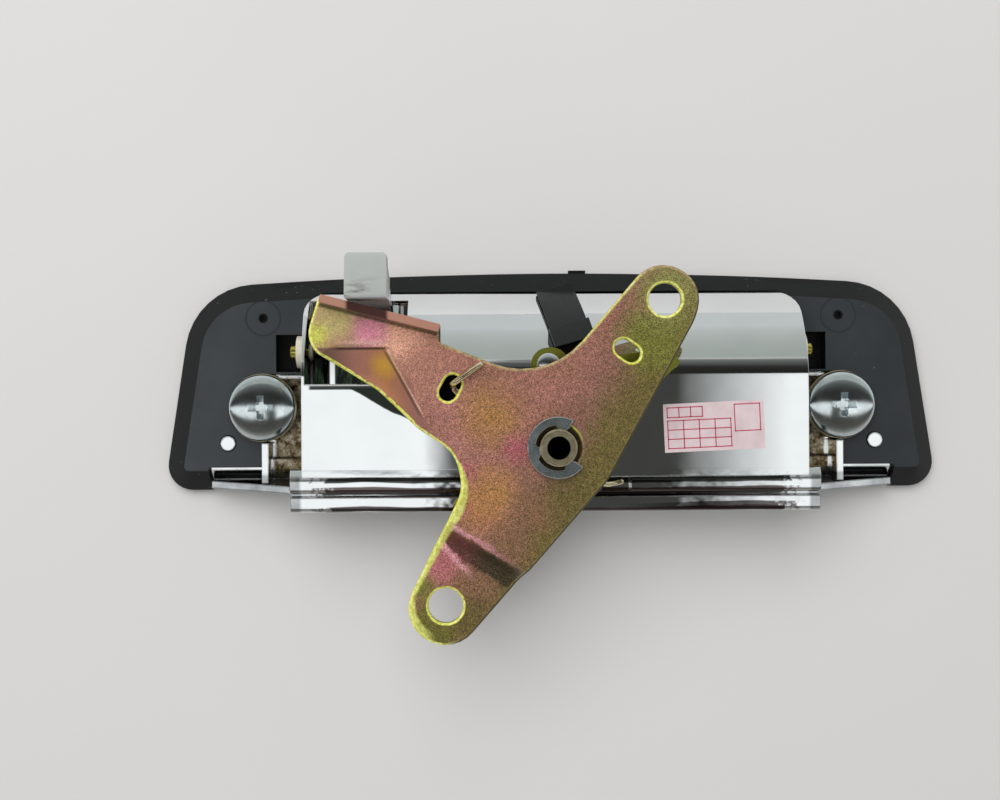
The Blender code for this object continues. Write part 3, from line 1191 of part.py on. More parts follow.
clear_scene()
build_housing()
build_backing_pad()
build_paddle()
build_hinge_pin()
build_pin_bushes()
build_paddle_stops()
build_mounting_screws()
build_pivot_bracket()
build_bracket_screws()
build_pivot_post()
build_pivot_rings()
build_e_clip()
build_return_spring()
build_bell_crank()
build_stop_strap()
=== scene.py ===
"""Looks of a tailgate handle that lies on its front face on a pale table, seen from straight above.

Units are metres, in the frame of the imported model: X along the handle, Y towards its upper edge, Z up.
"""
import math

import bmesh
import bpy
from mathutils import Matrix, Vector

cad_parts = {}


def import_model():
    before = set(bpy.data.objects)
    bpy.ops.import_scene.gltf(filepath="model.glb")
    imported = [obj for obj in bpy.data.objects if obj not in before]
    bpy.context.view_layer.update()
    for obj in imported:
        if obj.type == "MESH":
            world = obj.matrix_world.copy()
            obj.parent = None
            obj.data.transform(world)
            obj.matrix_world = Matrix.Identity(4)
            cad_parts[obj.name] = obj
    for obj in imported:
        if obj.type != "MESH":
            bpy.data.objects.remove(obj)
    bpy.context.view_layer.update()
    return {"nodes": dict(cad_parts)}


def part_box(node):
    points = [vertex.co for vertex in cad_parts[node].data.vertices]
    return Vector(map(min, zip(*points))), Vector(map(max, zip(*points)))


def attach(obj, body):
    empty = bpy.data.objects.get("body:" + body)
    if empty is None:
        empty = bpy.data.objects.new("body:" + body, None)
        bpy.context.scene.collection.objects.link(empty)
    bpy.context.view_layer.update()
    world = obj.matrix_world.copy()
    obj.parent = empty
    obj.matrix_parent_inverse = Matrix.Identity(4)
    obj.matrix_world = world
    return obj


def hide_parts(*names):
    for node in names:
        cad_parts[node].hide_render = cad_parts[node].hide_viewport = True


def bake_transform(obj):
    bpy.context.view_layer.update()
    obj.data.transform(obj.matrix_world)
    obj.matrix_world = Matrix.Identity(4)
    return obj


MM = 0.001


def mm(*lengths):
    """Lengths in millimetres as a tuple of lengths in metres."""
    return tuple(length * MM for length in lengths)


# Camera of the photograph: straight down, with the handle right of the point below it
CAMERA_PLACE = mm(-26.1, -5.7, 420.0)
CAMERA_TURN_DEG = -0.35
CAMERA_LENS = 45.97
CAMERA_SHIFT_X = 0.030

FLOOR_SIZE = 4.0
FLOOR_Z = -0.15 * MM

# Places on the part that several looks share
BACK_Z = 28.0 * MM
PAD_FLAT_Z = 9.0 * MM
PIVOT = mm(0.0, -20.0)
CRANK_TOP_Z = 40.1 * MM
LOWER_ARM_Z = 34.1 * MM
WINDOW_SIDES = mm(-77.0, -45.0)
WINDOW_TOP_Y = 20.5 * MM

# Nearly all values of a noise lie in this range
NOISE_RANGE = (0.3, 0.7)
# Painted shade: black inside bores
BORE_SHADE_BLACK = (0.012, 0.009, 0.011)
CLEAN_PLATING = [(0.3, (0.90, 0.92, 0.93)), (0.8, (0.84, 0.86, 0.87))]

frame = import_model()
nodes = frame["nodes"]


class Graph:
    """Small helper that builds the nodes of a material or of the world."""

    def __init__(self, owner):
        owner.use_nodes = True
        self.material = owner
        self.tree = owner.node_tree
        self.shader = self.tree.nodes.get("Principled BSDF")

    def node(self, kind, **settings):
        item = self.tree.nodes.new(kind)
        for key, value in settings.items():
            setattr(item, key, value)
        return item

    def link(self, source, target):
        self.tree.links.new(source, target)

    def feed(self, source, target):
        """Set a socket to a number or a colour, or link it."""
        if isinstance(source, (int, float)):
            target.default_value = source
        elif isinstance(source, tuple):
            target.default_value = (*source, 1.0)
        else:
            self.link(source, target)

    def set(self, socket, source):
        self.feed(source, self.shader.inputs[socket])

    def place(self):
        """Position on the part, in metres."""
        return self.node("ShaderNodeTexCoord").outputs["Object"]

    def noise(self, scale, detail=2.0, roughness=0.5, vector=None):
        item = self.node("ShaderNodeTexNoise")
        item.inputs["Scale"].default_value = scale
        item.inputs["Detail"].default_value = detail
        item.inputs["Roughness"].default_value = roughness
        self.link(vector if vector is not None else self.place(), item.inputs["Vector"])
        return item.outputs["Fac"]

    def stretched(self, x, y, z):
        """Position on the part with each axis scaled, for streaks."""
        item = self.node("ShaderNodeVectorMath", operation="MULTIPLY")
        item.inputs[1].default_value = (x, y, z)
        self.link(self.place(), item.inputs[0])
        return item.outputs["Vector"]

    def ramp(self, source, stops):
        """Colour ramp; each stop is a position and a colour."""
        item = self.node("ShaderNodeValToRGB")
        elements = item.color_ramp.elements
        while len(elements) < len(stops):
            elements.new(0.5)
        for element, (position, colour) in zip(elements, stops):
            element.position = position
            element.color = (*colour, 1.0)
        self.link(source, item.inputs["Fac"])
        return item.outputs["Color"]

    def math(self, operation, *sources):
        item = self.node("ShaderNodeMath", operation=operation)
        for socket, source in zip(item.inputs, sources):
            self.feed(source, socket)
        return item.outputs["Value"]

    def remap(self, source, low, high, to_low=0.0, to_high=1.0):
        item = self.node("ShaderNodeMapRange")
        item.inputs["From Min"].default_value = low
        item.inputs["From Max"].default_value = high
        item.inputs["To Min"].default_value = to_low
        item.inputs["To Max"].default_value = to_high
        self.link(source, item.inputs["Value"])
        return item.outputs["Result"]

    def fall(self, source, low, high):
        """1 below a value, falling to 0 at a higher one."""
        return self.remap(source, low, high, 1.0, 0.0)

    def spread(self, noise, amount):
        """Noise spread evenly about 0."""
        return self.remap(noise, *NOISE_RANGE, -amount, amount)

    def band(self, source, low, high, softness):
        """1 where the source lies between two values, falling to 0 outside them."""
        rise = self.remap(source, low - softness, low + softness)
        fall = self.fall(source, high - softness, high + softness)
        return self.math("MULTIPLY", rise, fall)

    def both(self, *masks):
        """1 where all masks are 1."""
        result = masks[0]
        for mask in masks[1:]:
            result = self.math("MULTIPLY", result, mask)
        return result

    def mix(self, factor, first, second):
        """Colour between two colours."""
        item = self.node("ShaderNodeMix", data_type="RGBA")
        self.feed(factor, item.inputs[0])
        self.feed(first, item.inputs[6])
        self.feed(second, item.inputs[7])
        return item.outputs[2]

    def paint(self, colour, mask, paint, strength):
        """Lay a colour over another one where a mask is 1, at some strength."""
        return self.mix(self.math("MULTIPLY", mask, strength), colour, paint)

    def shade(self, colour, amount):
        """Multiply a colour by a grey value."""
        item = self.node("ShaderNodeVectorMath", operation="SCALE")
        self.link(colour, item.inputs[0])
        self.feed(amount, item.inputs["Scale"])
        return item.outputs["Vector"]

    def blend(self, factor, first, second):
        """Number between two numbers."""
        item = self.node("ShaderNodeMix", data_type="FLOAT")
        self.feed(factor, item.inputs[0])
        self.feed(first, item.inputs[2])
        self.feed(second, item.inputs[3])
        return item.outputs[0]

    def rounding(self, radius):
        """Normal with rounded edges, for castings and mouldings."""
        item = self.node("ShaderNodeBevel", samples=6)
        item.inputs["Radius"].default_value = radius
        return item.outputs["Normal"]

    def bump(self, height, strength, distance, normal=None):
        item = self.node("ShaderNodeBump")
        item.inputs["Strength"].default_value = strength
        item.inputs["Distance"].default_value = distance
        self.link(height, item.inputs["Height"])
        if normal is not None:
            self.link(normal, item.inputs["Normal"])
        self.link(item.outputs["Normal"], self.shader.inputs["Normal"])
        return item.outputs["Normal"]

    def axis(self, name, vector=None):
        item = self.node("ShaderNodeSeparateXYZ")
        self.link(vector if vector is not None else self.place(), item.inputs["Vector"])
        return item.outputs[name]

    def distance(self, centre):
        item = self.node("ShaderNodeVectorMath", operation="DISTANCE")
        item.inputs[1].default_value = centre
        self.link(self.place(), item.inputs[0])
        return item.outputs["Value"]

    def near(self, centre, radius, softness):
        """1 inside a ball round a place on the part, falling to 0 at its edge."""
        return self.fall(self.distance(centre), radius, radius + softness)

    def normal(self):
        """Direction that the surface faces, on the part."""
        return self.node("ShaderNodeTexCoord").outputs["Normal"]

    def along(self, direction, vector=None):
        """Distance along a direction."""
        item = self.node("ShaderNodeVectorMath", operation="DOT_PRODUCT")
        item.inputs[1].default_value = direction
        self.link(vector if vector is not None else self.place(), item.inputs[0])
        return item.outputs["Value"]


def new_material(name):
    return Graph(bpy.data.materials.new(name))


# Housing: places of its mottled brown floor beside the bucket, of its painted shade and of its painted
# reflections
BROWN_TRAY_ACROSS = mm(79.3, 89.6)
BROWN_TRAY_UP = mm(-32.5, 1.5)
BROWN_TRAY_TOP_Z = mm(14.0, 22.0)
BEHIND_SLOT = (*mm(-33.2, -1.2), BACK_Z)
WINDOW_LOW_Y = -1.5 * MM
IMAGE_DIRECTION = (0.464, 0.886, 0.0)
IMAGE_EDGE = mm(-31.3, -30.9)
IMAGE_SIDES = mm(-75.5, -36.0)
SHELF_SIDES = mm(-75.5, -50.0)
SHELF_UP = mm(-2.3, -1.1)
LIP_ENDS = mm(70.0, 74.0)
LIP_FOOT_Z = mm(15.0, 17.0)

# Streaks along the lip: lower edge and upper edge in millimetres, and colour
LIP_STREAKS = [
    (-31.1, -29.5, (0.020, 0.024, 0.020)),
    (-34.6, -32.5, (0.095, 0.058, 0.060)),
    (-35.2, -34.5, (0.015, 0.013, 0.013)),
    (-40.3, -38.7, (0.060, 0.038, 0.040)),
]
BROAD_STREAK = mm(-39.8, -37.4)
BROAD_STREAK_START = mm(20.0, 45.0)


def lip_streaks(graph, colour, across, up, height):
    """Dark wavy streaks along the lip, as bright plating mirrors the room there."""
    wave = graph.noise(26.0, 3.0, 0.55, graph.stretched(1.0, 3.0, 1.0))
    level = graph.math("ADD", up, graph.spread(wave, 0.5 * MM))
    length = graph.math("ADD", across, graph.spread(graph.noise(500.0, 3.0), 4.0 * MM))
    within = graph.both(graph.fall(length, *LIP_ENDS), graph.remap(height, *LIP_FOOT_Z))
    for low, high, streak in LIP_STREAKS:
        mask = graph.both(graph.band(level, *mm(low, high), 0.15 * MM), within)
        colour = graph.paint(colour, mask, streak, 0.93)
    broad = graph.both(
        graph.band(level, *BROAD_STREAK, 0.15 * MM),
        within,
        graph.remap(graph.axis("X"), *BROAD_STREAK_START),
    )
    return graph.paint(colour, broad, (0.05, 0.035, 0.036), 0.9)


def shade_and_crank_reflection(graph, colour, up, height):
    """Painted shade on the walls behind the lever's window and on a thin strip below it, and a painted dark
    reflection of the crank on the back.
    """
    side = graph.axis("X")
    # Painted shade inside the window
    window = graph.both(
        graph.band(side, *WINDOW_SIDES, 0.3 * MM),
        graph.band(up, WINDOW_LOW_Y, WINDOW_TOP_Y, 0.2 * MM),
        graph.fall(height, BACK_Z - 1.5 * MM, BACK_Z - 0.5 * MM),
    )
    colour = graph.paint(colour, window, (0.02, 0.022, 0.02), 0.97)
    # Painted reflection of the crank's underside on the back
    ragged = graph.spread(graph.noise(60.0, 3.0, 0.5), 0.7 * MM)
    crank_reflection = graph.both(
        graph.remap(graph.math("ADD", graph.along(IMAGE_DIRECTION), ragged), *IMAGE_EDGE),
        graph.band(side, *IMAGE_SIDES, 0.3 * MM),
        graph.fall(up, -2.2 * MM, -1.4 * MM),
        graph.remap(height, BACK_Z - 1.0 * MM, BACK_Z - 0.5 * MM),
    )
    colour = graph.paint(colour, crank_reflection, (0.010, 0.014, 0.009), 0.985)
    # Painted shade on a thin strip below the window
    ledge_shade = graph.both(graph.band(side, *SHELF_SIDES, 0.4 * MM), graph.band(up, *SHELF_UP, 0.15 * MM))
    return graph.paint(colour, ledge_shade, (0.015, 0.02, 0.015), 0.96)


def housing_plating():
    """Bright plating, rougher and mottled brown on the floor between the bucket and its ribs, with painted
    shade and painted reflections in places.
    """
    graph = new_material("bright_plating")
    graph.set("Metallic", 1.0)
    haze = graph.noise(60.0, 3.0)
    across = graph.math("ABSOLUTE", graph.axis("X"))
    up = graph.axis("Y")
    height = graph.axis("Z")
    brown_tray = graph.both(
        graph.band(across, *BROWN_TRAY_ACROSS, 0.4 * MM),
        graph.band(up, *BROWN_TRAY_UP, 0.6 * MM),
        graph.fall(height, *BROWN_TRAY_TOP_Z),
    )
    mottled = graph.ramp(graph.noise(420.0, 5.0, 0.7), [
        (0.34, (0.03, 0.02, 0.01)),
        (0.43, (0.24, 0.17, 0.08)),
        (0.52, (0.60, 0.48, 0.30)),
        (0.62, (0.95, 0.88, 0.72)),
    ])
    # Painted shade: black in the bore below the post and behind the crank's slot
    bore = graph.near((*PIVOT, BACK_Z), 4.6 * MM, 0.4 * MM)
    slot_shade = graph.near(BEHIND_SLOT, 4.5 * MM, 0.5 * MM)
    colour = graph.mix(brown_tray, graph.ramp(haze, CLEAN_PLATING), mottled)
    colour = graph.mix(bore, colour, BORE_SHADE_BLACK)
    colour = graph.mix(slot_shade, colour, (0.016, 0.010, 0.018))
    colour = shade_and_crank_reflection(graph, colour, up, height)
    colour = lip_streaks(graph, colour, across, up, height)
    # Painted reflection: mottled grey beyond the bucket's sides at its lower edge
    foot = graph.both(
        graph.remap(across, 78.0 * MM, 79.0 * MM),
        graph.fall(up, -29.5 * MM, -28.5 * MM),
        graph.remap(graph.noise(120.0, 3.0), *NOISE_RANGE, 0.5, 1.0),
    )
    graph.set("Base Color", graph.mix(foot, colour, (0.30, 0.31, 0.32)))
    roughness = graph.blend(brown_tray, graph.remap(haze, 0.35, 0.75, 0.02, 0.06), 0.42)
    graph.set("Roughness", graph.blend(graph.math("MAXIMUM", bore, slot_shade), roughness, 0.8))
    waves = graph.both(
        graph.fall(up, -29.0 * MM, -27.0 * MM),
        graph.noise(55.0, 3.0, 0.5, graph.stretched(1.0, 2.2, 1.0)),
    )
    relief = graph.math("ADD", graph.noise(45.0, 2.0), graph.math("MULTIPLY", waves, 5.0))
    grain = graph.both(brown_tray, graph.noise(700.0, 3.0))
    relief = graph.math("ADD", relief, graph.math("MULTIPLY", grain, 1.2))
    graph.bump(relief, 0.08, 0.4 * MM, graph.rounding(0.55 * MM))
    return graph.material


# Paddle: heights between which its lever turns dull, where painted shade streaks its end, and the places that
# show through the window, which is otherwise painted black shade
LEVER_DULL_Z = mm(31.0, 35.0)
LEVER_SHADE_Y = mm(26.0, 31.0)
WINDOW_STRIP = mm(-71.8, -70.2)


def paddle_plating():
    """Bright plating with painted black shade inside the window; the lever's end is dull grey, with a painted
    highlight on its tilted faces and painted streaky shade towards its lower edge.
    """
    graph = new_material("paddle_plating")
    haze = graph.noise(60.0, 3.0)
    side = graph.axis("X")
    up = graph.axis("Y")
    height = graph.axis("Z")
    end = graph.remap(height, *LEVER_DULL_Z)
    # Painted shade: darker streaks towards the lower edge of the lever's end, where it rolls over
    streak = graph.noise(260.0, 4.0, 0.6, graph.stretched(0.35, 1.6, 1.0))
    shade_streaks = graph.both(graph.fall(up, *LEVER_SHADE_Y), graph.remap(streak, 0.5, 0.62))
    dull = graph.ramp(graph.noise(90.0, 2.0), [(0.35, (0.45, 0.475, 0.45)), (0.7, (0.49, 0.515, 0.49))])
    dull = graph.mix(shade_streaks, dull, (0.22, 0.22, 0.20))
    # Painted highlight: faces of the lever's end that tilt from level, its rounded edges and sides, turn
    # light
    tilt = graph.axis("Z", graph.normal())
    dull = graph.mix(graph.fall(tilt, 0.75, 0.97), dull, (0.85, 0.86, 0.87))
    # Painted shade: black inside the window, faintly mottled green, but not on the strip
    window = graph.both(
        graph.band(side, *WINDOW_SIDES, 0.3 * MM),
        graph.band(up, -3.0 * MM, WINDOW_TOP_Y, 0.2 * MM),
        graph.fall(height, BACK_Z - 1.0 * MM, BACK_Z + 1.0 * MM),
        graph.remap(height, 1.0 * MM, 2.0 * MM),
    )
    strip = graph.band(side, *WINDOW_STRIP, 0.2 * MM)
    shimmer = graph.noise(240.0, 4.0, 0.6, graph.stretched(2.0, 0.4, 1.0))
    inside = graph.mix(graph.remap(shimmer, 0.45, 0.62), (0.012, 0.012, 0.012), (0.05, 0.08, 0.045))
    bright = graph.ramp(haze, CLEAN_PLATING)
    bright = graph.mix(graph.both(window, graph.math("SUBTRACT", 1.0, strip)), bright, inside)
    graph.set("Base Color", graph.mix(end, bright, dull))
    graph.set("Metallic", graph.blend(end, 1.0, 0.25))
    graph.set("Roughness", graph.blend(end, graph.remap(haze, 0.35, 0.75, 0.03, 0.08), 0.42))
    graph.bump(haze, 0.06, 0.3 * MM)
    return graph.material


# Backing pad: its wells beside the bucket, and the round marks at its upper corners
WELL_SIDES = mm(70.0, 90.5)
WELL_FLOOR_Z = mm(4.2, 5.2)
DIMPLE = mm(92.5, 21.0)
DIMPLE_RING = mm(5.3, 5.8)
# Span over which painted light brightens the pad's flat towards the left
PAD_BRIGHTER_LEFT = mm(-115.0, -20.0)


def moulded_plastic():
    """Black moulded plastic with faint flow marks; painted shade darkens its sloping rim and, more, its
    wells, and painted light brightens its flat towards the left.
    """
    graph = new_material("black_plastic")
    flow = graph.noise(35.0, 4.0, 0.6)
    height = graph.axis("Z")
    top = graph.remap(height, PAD_FLAT_Z - 0.25 * MM, PAD_FLAT_Z - 0.05 * MM)
    well = graph.remap(height, *WELL_FLOOR_Z)
    beside = graph.band(graph.math("ABSOLUTE", graph.axis("X")), *WELL_SIDES, 0.4 * MM)
    # Painted shade: the sloping rim dark, the wells' floors darker still
    well_floor_shade = graph.both(beside, graph.math("SUBTRACT", 1.0, well))
    rim = graph.mix(well_floor_shade, (0.0045, 0.0052, 0.0056), (0.002, 0.002, 0.002))
    flat = graph.ramp(flow, [(0.35, (0.024, 0.0275, 0.030)), (0.7, (0.037, 0.042, 0.045))])
    # Painted light: the flat grows brighter towards the left
    flat = graph.shade(flat, graph.remap(graph.axis("X"), *PAD_BRIGHTER_LEFT, 1.35, 1.0))
    colour = graph.mix(top, rim, flat)
    for side in (-1, 1):
        dimple = (side * DIMPLE[0], DIMPLE[1], PAD_FLAT_Z)
        ring = graph.band(graph.distance(dimple), *DIMPLE_RING, 0.15 * MM)
        colour = graph.paint(colour, ring, (0.004, 0.004, 0.005), 0.45)
        colour = graph.mix(graph.near(dimple, 1.4 * MM, 0.3 * MM), colour, (0.002, 0.002, 0.002))
    specks = graph.remap(graph.noise(900.0, 1.0), 0.76, 0.80)
    graph.set("Base Color", graph.mix(specks, colour, (0.10, 0.10, 0.10)))
    graph.set("Specular IOR Level", 0.35)
    graph.set("Roughness", graph.blend(top, 0.55, graph.remap(flow, *NOISE_RANGE, 0.34, 0.46)))
    graph.bump(graph.noise(900.0, 3.0), 0.12, 0.1 * MM, graph.rounding(0.4 * MM))
    return graph.material


# Bell crank: how its sheet is formed, as in the part's own shape
SCOOP_CENTRE = mm(-60.5, -7.0)
SCOOP_RADIUS = 18.3 * MM
SCOOP_DEPTH = 5.4 * MM
SCOOP_SLOPE_SHARE = 0.6
JOGGLE_NORMAL = (-0.475, -0.880)
JOGGLE_START = 53.0 * MM
JOGGLE_END = 59.5 * MM
JOGGLE_DROP = 6.0 * MM
RIM_WIDTH = 1.0 * MM

# Bell crank: directions and places of its looks
FLANGE_FOOT_Z = 41.0 * MM
FLANGE_NORMAL = (-0.2489, -0.9686, 0.0)
FLANGE_ROOT = mm(-5.15, -4.0)
LEVER_SIDES = mm(-62.5, -50.2)
RIGHT_EDGE_NORMAL = (0.85, -0.527, 0.0)
SCOOP_LINE_NORMAL = (0.877, 0.479, 0.0)
FIRST_RIDGE_NORMAL = (-0.53, -0.848, 0.0)
SECOND_RIDGE_NORMAL = (-0.75, -0.66, 0.0)
WAIST_CENTRE = mm(-43.3, -32.5)
LOWER_ARM_NORMAL = (-0.874, 0.486, 0.0)
LOWER_TIP_CENTRE = mm(-33.5, -67.4)
HOLES = [
    (*mm(32.2, 23.9), CRANK_TOP_Z),
    (*mm(-33.8, -67.9), LOWER_ARM_Z),
    (*mm(-32.0, -1.5), CRANK_TOP_Z),
    (*mm(21.0, 9.6), CRANK_TOP_Z),
]
HOLE_REACH = 6.4 * MM

# Colours of the passivated zinc, by place: x and y in millimetres, radius, softness and colour
KHAKI = (0.62, 0.50, 0.21)
TAN_PINK = (0.92, 0.47, 0.33)
MAGENTA = (0.46, 0.13, 0.15)
ROSE = (0.78, 0.29, 0.38)
COPPER = (0.50, 0.23, 0.17)
GOLD = (0.47, 0.235, 0.08)
BROWN = (0.27, 0.145, 0.075)
OLIVE = (0.165, 0.125, 0.040)
GREEN = (0.21, 0.21, 0.04)
TIP_GREEN = (0.30, 0.29, 0.09)
ZINC_PATCHES = [
    (-66.0, 18.5, 3.0, 9.0, KHAKI),
    (-71.5, 14.0, 1.0, 4.0, (0.70, 0.72, 0.12)),
    (-46.5, 13.5, 4.0, 10.0, TAN_PINK),
    (-56.0, 15.5, 2.0, 5.5, ROSE),
    (-38.0, 3.0, 4.0, 9.0, COPPER),
    (-20.0, -10.5, 1.0, 12.0, GOLD),
    (-22.5, -36.0, 3.0, 10.0, (0.48, 0.22, 0.09)),
    (-18.0, -33.0, 0.5, 9.0, GOLD),
    (-28.5, -27.0, 0.5, 4.5, MAGENTA),
    (-30.5, -38.0, 0.5, 4.5, MAGENTA),
    (-12.5, -20.5, 1.0, 5.0, MAGENTA),
    (-6.0, -38.0, 2.0, 8.0, BROWN),
    (3.0, -36.0, 1.0, 10.0, OLIVE),
    (28.0, 12.0, 5.0, 9.0, GREEN),
    (33.0, 26.0, 4.0, 10.0, TIP_GREEN),
    (-15.0, -50.0, 2.0, 8.0, BROWN),
    (-35.5, -54.5, 3.0, 5.0, (0.52, 0.17, 0.18)),
    (-25.0, -63.0, 3.0, 6.0, BROWN),
    (-37.0, -74.0, 5.0, 6.0, (0.17, 0.16, 0.03)),
    (-41.0, -62.0, 1.0, 5.0, GREEN),
    (-26.0, -72.0, 3.0, 6.0, OLIVE),
]


def zinc_colour(graph):
    """Colour clouds of the crank, browner and then olive towards its right edge."""
    colour = graph.ramp(graph.noise(60.0, 3.0, 0.5), [
        (0.32, (0.34, 0.165, 0.11)),
        (0.50, (0.40, 0.18, 0.13)),
        (0.68, (0.48, 0.21, 0.17)),
    ])
    broad = graph.spread(graph.noise(190.0, 3.0, 0.6), 0.16)
    fine = graph.spread(graph.noise(2200.0, 2.0, 0.6), 0.28)
    ragged = graph.math("ADD", broad, fine)
    beside = graph.math("ADD", graph.along(RIGHT_EDGE_NORMAL), graph.math("MULTIPLY", ragged, 12.0 * MM))
    colour = graph.mix(graph.remap(beside, *mm(1.0, 12.0), 0.0, 0.85), colour, (0.27, 0.135, 0.095))
    colour = graph.mix(graph.remap(beside, *mm(11.0, 21.0), 0.0, 0.9), colour, (0.17, 0.14, 0.035))
    for x, y, radius, softness, patch in ZINC_PATCHES:
        level = LOWER_ARM_Z if y < -50.0 else CRANK_TOP_Z
        mask = graph.near((*mm(x, y), level), *mm(radius, softness))
        edge = graph.both(ragged, graph.band(mask, 0.15, 0.85, 0.15))
        mask = graph.remap(graph.math("ADD", mask, edge), 0.05, 0.95, 0.0, 0.95)
        colour = graph.mix(mask, colour, patch)
    return colour


def joggle_shade(graph, colour):
    """Painted highlights as pink ridges where the sheet bends down and flattens again, painted shade on the
    slope between them.
    """
    across = graph.axis("X")
    wobble = graph.spread(graph.noise(300.0, 3.0, 0.6), 0.7 * MM)
    first = graph.math("ADD", graph.along(FIRST_RIDGE_NORMAL), wobble)
    second = graph.math("ADD", graph.along(SECOND_RIDGE_NORMAL), wobble)
    slope = graph.both(
        graph.band(first, *mm(54.4, 61.0), 0.6 * MM),
        graph.fall(second, *mm(57.2, 58.2)),
        graph.remap(across, *mm(-14.0, -9.0), 1.0, 0.35),
    )
    shadow = graph.mix(graph.fall(across, *mm(-27.0, -22.0)), (0.040, 0.034, 0.016), (0.13, 0.042, 0.036))
    colour = graph.paint(colour, slope, shadow, 0.9)
    # Painted highlights along the two ridges
    start = graph.both(graph.band(first, *mm(52.5, 54.0), 0.5 * MM), graph.fall(across, *mm(-24.0, -11.0)))
    end = graph.both(
        graph.band(second, *mm(57.9, 59.4), 0.5 * MM),
        graph.fall(across, *mm(-29.0, -24.0)),
        graph.remap(graph.axis("Y"), *mm(-62.0, -57.0)),
    )
    return graph.paint(colour, graph.math("MAXIMUM", start, end), (0.86, 0.40, 0.44), 0.8)


def scoop_area(graph):
    """1 inside the pressed scoop, below its upper line and left of its slanting one."""
    up = graph.axis("Y")
    return graph.both(
        graph.fall(up, *mm(9.9, 10.3)),
        graph.fall(graph.along(SCOOP_LINE_NORMAL), *mm(-40.3, -39.9)),
        graph.remap(up, *mm(-16.0, -12.0)),
    )


def scoop_shade(graph, colour):
    """Painted light and shade in the scoop: smooth brown-pink shading with a painted gold highlight, painted
    dark and light lines round it, and a painted highlight above it.
    """
    across = graph.axis("X")
    up = graph.axis("Y")
    slant = graph.along(SCOOP_LINE_NORMAL)
    # Painted shading across the scoop's smooth inside
    scoop_shading = graph.ramp(graph.remap(across, *mm(-68.0, -42.0)), [
        (0.00, (0.24, 0.13, 0.09)),
        (0.30, (0.50, 0.22, 0.17)),
        (0.62, (0.56, 0.24, 0.11)),
        (1.00, (0.36, 0.16, 0.13)),
    ])
    # Painted highlight: a gold patch low in the scoop
    scoop_shading = graph.mix(graph.near(mm(-51.8, 4.8, 37.0), *mm(1.0, 4.5)), scoop_shading, (0.74, 0.40, 0.06))
    colour = graph.mix(scoop_area(graph), colour, scoop_shading)
    # Painted shade along the scoop's upper line
    top = graph.both(graph.band(up, *mm(9.5, 10.2, 0.2)), graph.band(across, *mm(-66.5, -50.5, 1.5)))
    colour = graph.paint(colour, top, (0.05, 0.025, 0.02), 0.9)
    # Painted highlight and painted shade along the slanting line
    beside = graph.band(up, *mm(-10.0, 9.0, 1.5))
    light = graph.both(graph.band(slant, *mm(-40.2, -39.8, 0.15)), beside)
    colour = graph.paint(colour, light, (0.80, 0.55, 0.42), 0.75)
    dark = graph.both(graph.band(slant, *mm(-41.1, -40.5, 0.25)), beside)
    colour = graph.paint(colour, dark, (0.09, 0.04, 0.03), 0.75)
    # Painted highlight above the upper line
    upper_highlight = graph.both(graph.band(up, *mm(10.7, 12.2, 0.6)), graph.band(across, *mm(-63.0, -52.0, 2.5)))
    return graph.paint(colour, upper_highlight, (0.90, 0.52, 0.48), 0.6)


def wide_rim_highlight(graph):
    """1 where a painted highlight widens the rolled edge onto the face, at the left of the waist and of the
    lower arm.
    """
    up = graph.axis("Y")
    waist = graph.both(
        graph.near((*WAIST_CENTRE, CRANK_TOP_Z), *mm(16.0, 0.7)),
        graph.band(up, *mm(-43.0, -24.0, 1.0)),
    )
    arm = graph.both(
        graph.remap(graph.along(LOWER_ARM_NORMAL), *mm(5.7, 6.5)),
        graph.band(up, *mm(-65.0, -42.0, 1.0)),
    )
    tip = graph.both(
        graph.remap(graph.distance((*LOWER_TIP_CENTRE, LOWER_ARM_Z)), *mm(9.2, 10.0)),
        graph.fall(graph.axis("X"), *mm(-40.5, -37.0)),
        graph.fall(up, *mm(-66.0, -64.0)),
    )
    return graph.math("MAXIMUM", graph.math("MAXIMUM", waist, arm), tip)


def rim_highlight_yellow(graph):
    """Mottled yellow-green of the painted highlight on the rolled edge."""
    return graph.ramp(graph.noise(500.0, 3.0, 0.6), [(0.35, (0.60, 0.60, 0.10)), (0.65, (0.92, 0.95, 0.28))])


def flange_shade(graph, colour):
    """Smooth copper flange with a painted shadow behind the lever and a painted olive shade line at its foot;
    also its mask.
    """
    across = graph.axis("X")
    flange = graph.remap(graph.axis("Z"), FLANGE_FOOT_Z, FLANGE_FOOT_Z + 0.6 * MM)
    shadow = graph.band(across, LEVER_SIDES[0] + 0.2 * MM, LEVER_SIDES[1], 0.5 * MM)
    copper = graph.mix(shadow, (0.56, 0.28, 0.20), (0.075, 0.028, 0.024))
    # Painted shade: an olive line in the crease at the flange's foot
    root = graph.both(
        graph.band(graph.along(FLANGE_NORMAL), *FLANGE_ROOT, 0.3 * MM),
        graph.fall(across, *mm(-34.5, -33.5)),
    )
    colour = graph.paint(colour, root, (0.07, 0.06, 0.015), 0.8)
    return graph.mix(flange, colour, copper), flange


def sparkle(graph, colour, smooth):
    """Fine grain, dark between painted gold glints, but not on the smooth places; also the grain."""
    grain = graph.noise(3300.0, 2.0, 0.75)
    other = graph.noise(2500.0, 2.0, 0.7, graph.stretched(1.0, 1.0, 1.7))
    middle = graph.noise(700.0, 2.0, 0.6)
    amount = graph.both(
        graph.remap(grain, 0.36, 0.64, 0.30, 1.75),
        graph.remap(middle, 0.35, 0.65, 0.85, 1.15),
    )
    # Painted glints: sparse bright gold points
    points = graph.remap(other, 0.60, 0.70, 0.0, 0.55)
    bright = graph.mix(0.5, colour, (0.95, 0.72, 0.42))
    grained = graph.mix(points, graph.shade(colour, amount), bright)
    return graph.mix(smooth, grained, colour), grain


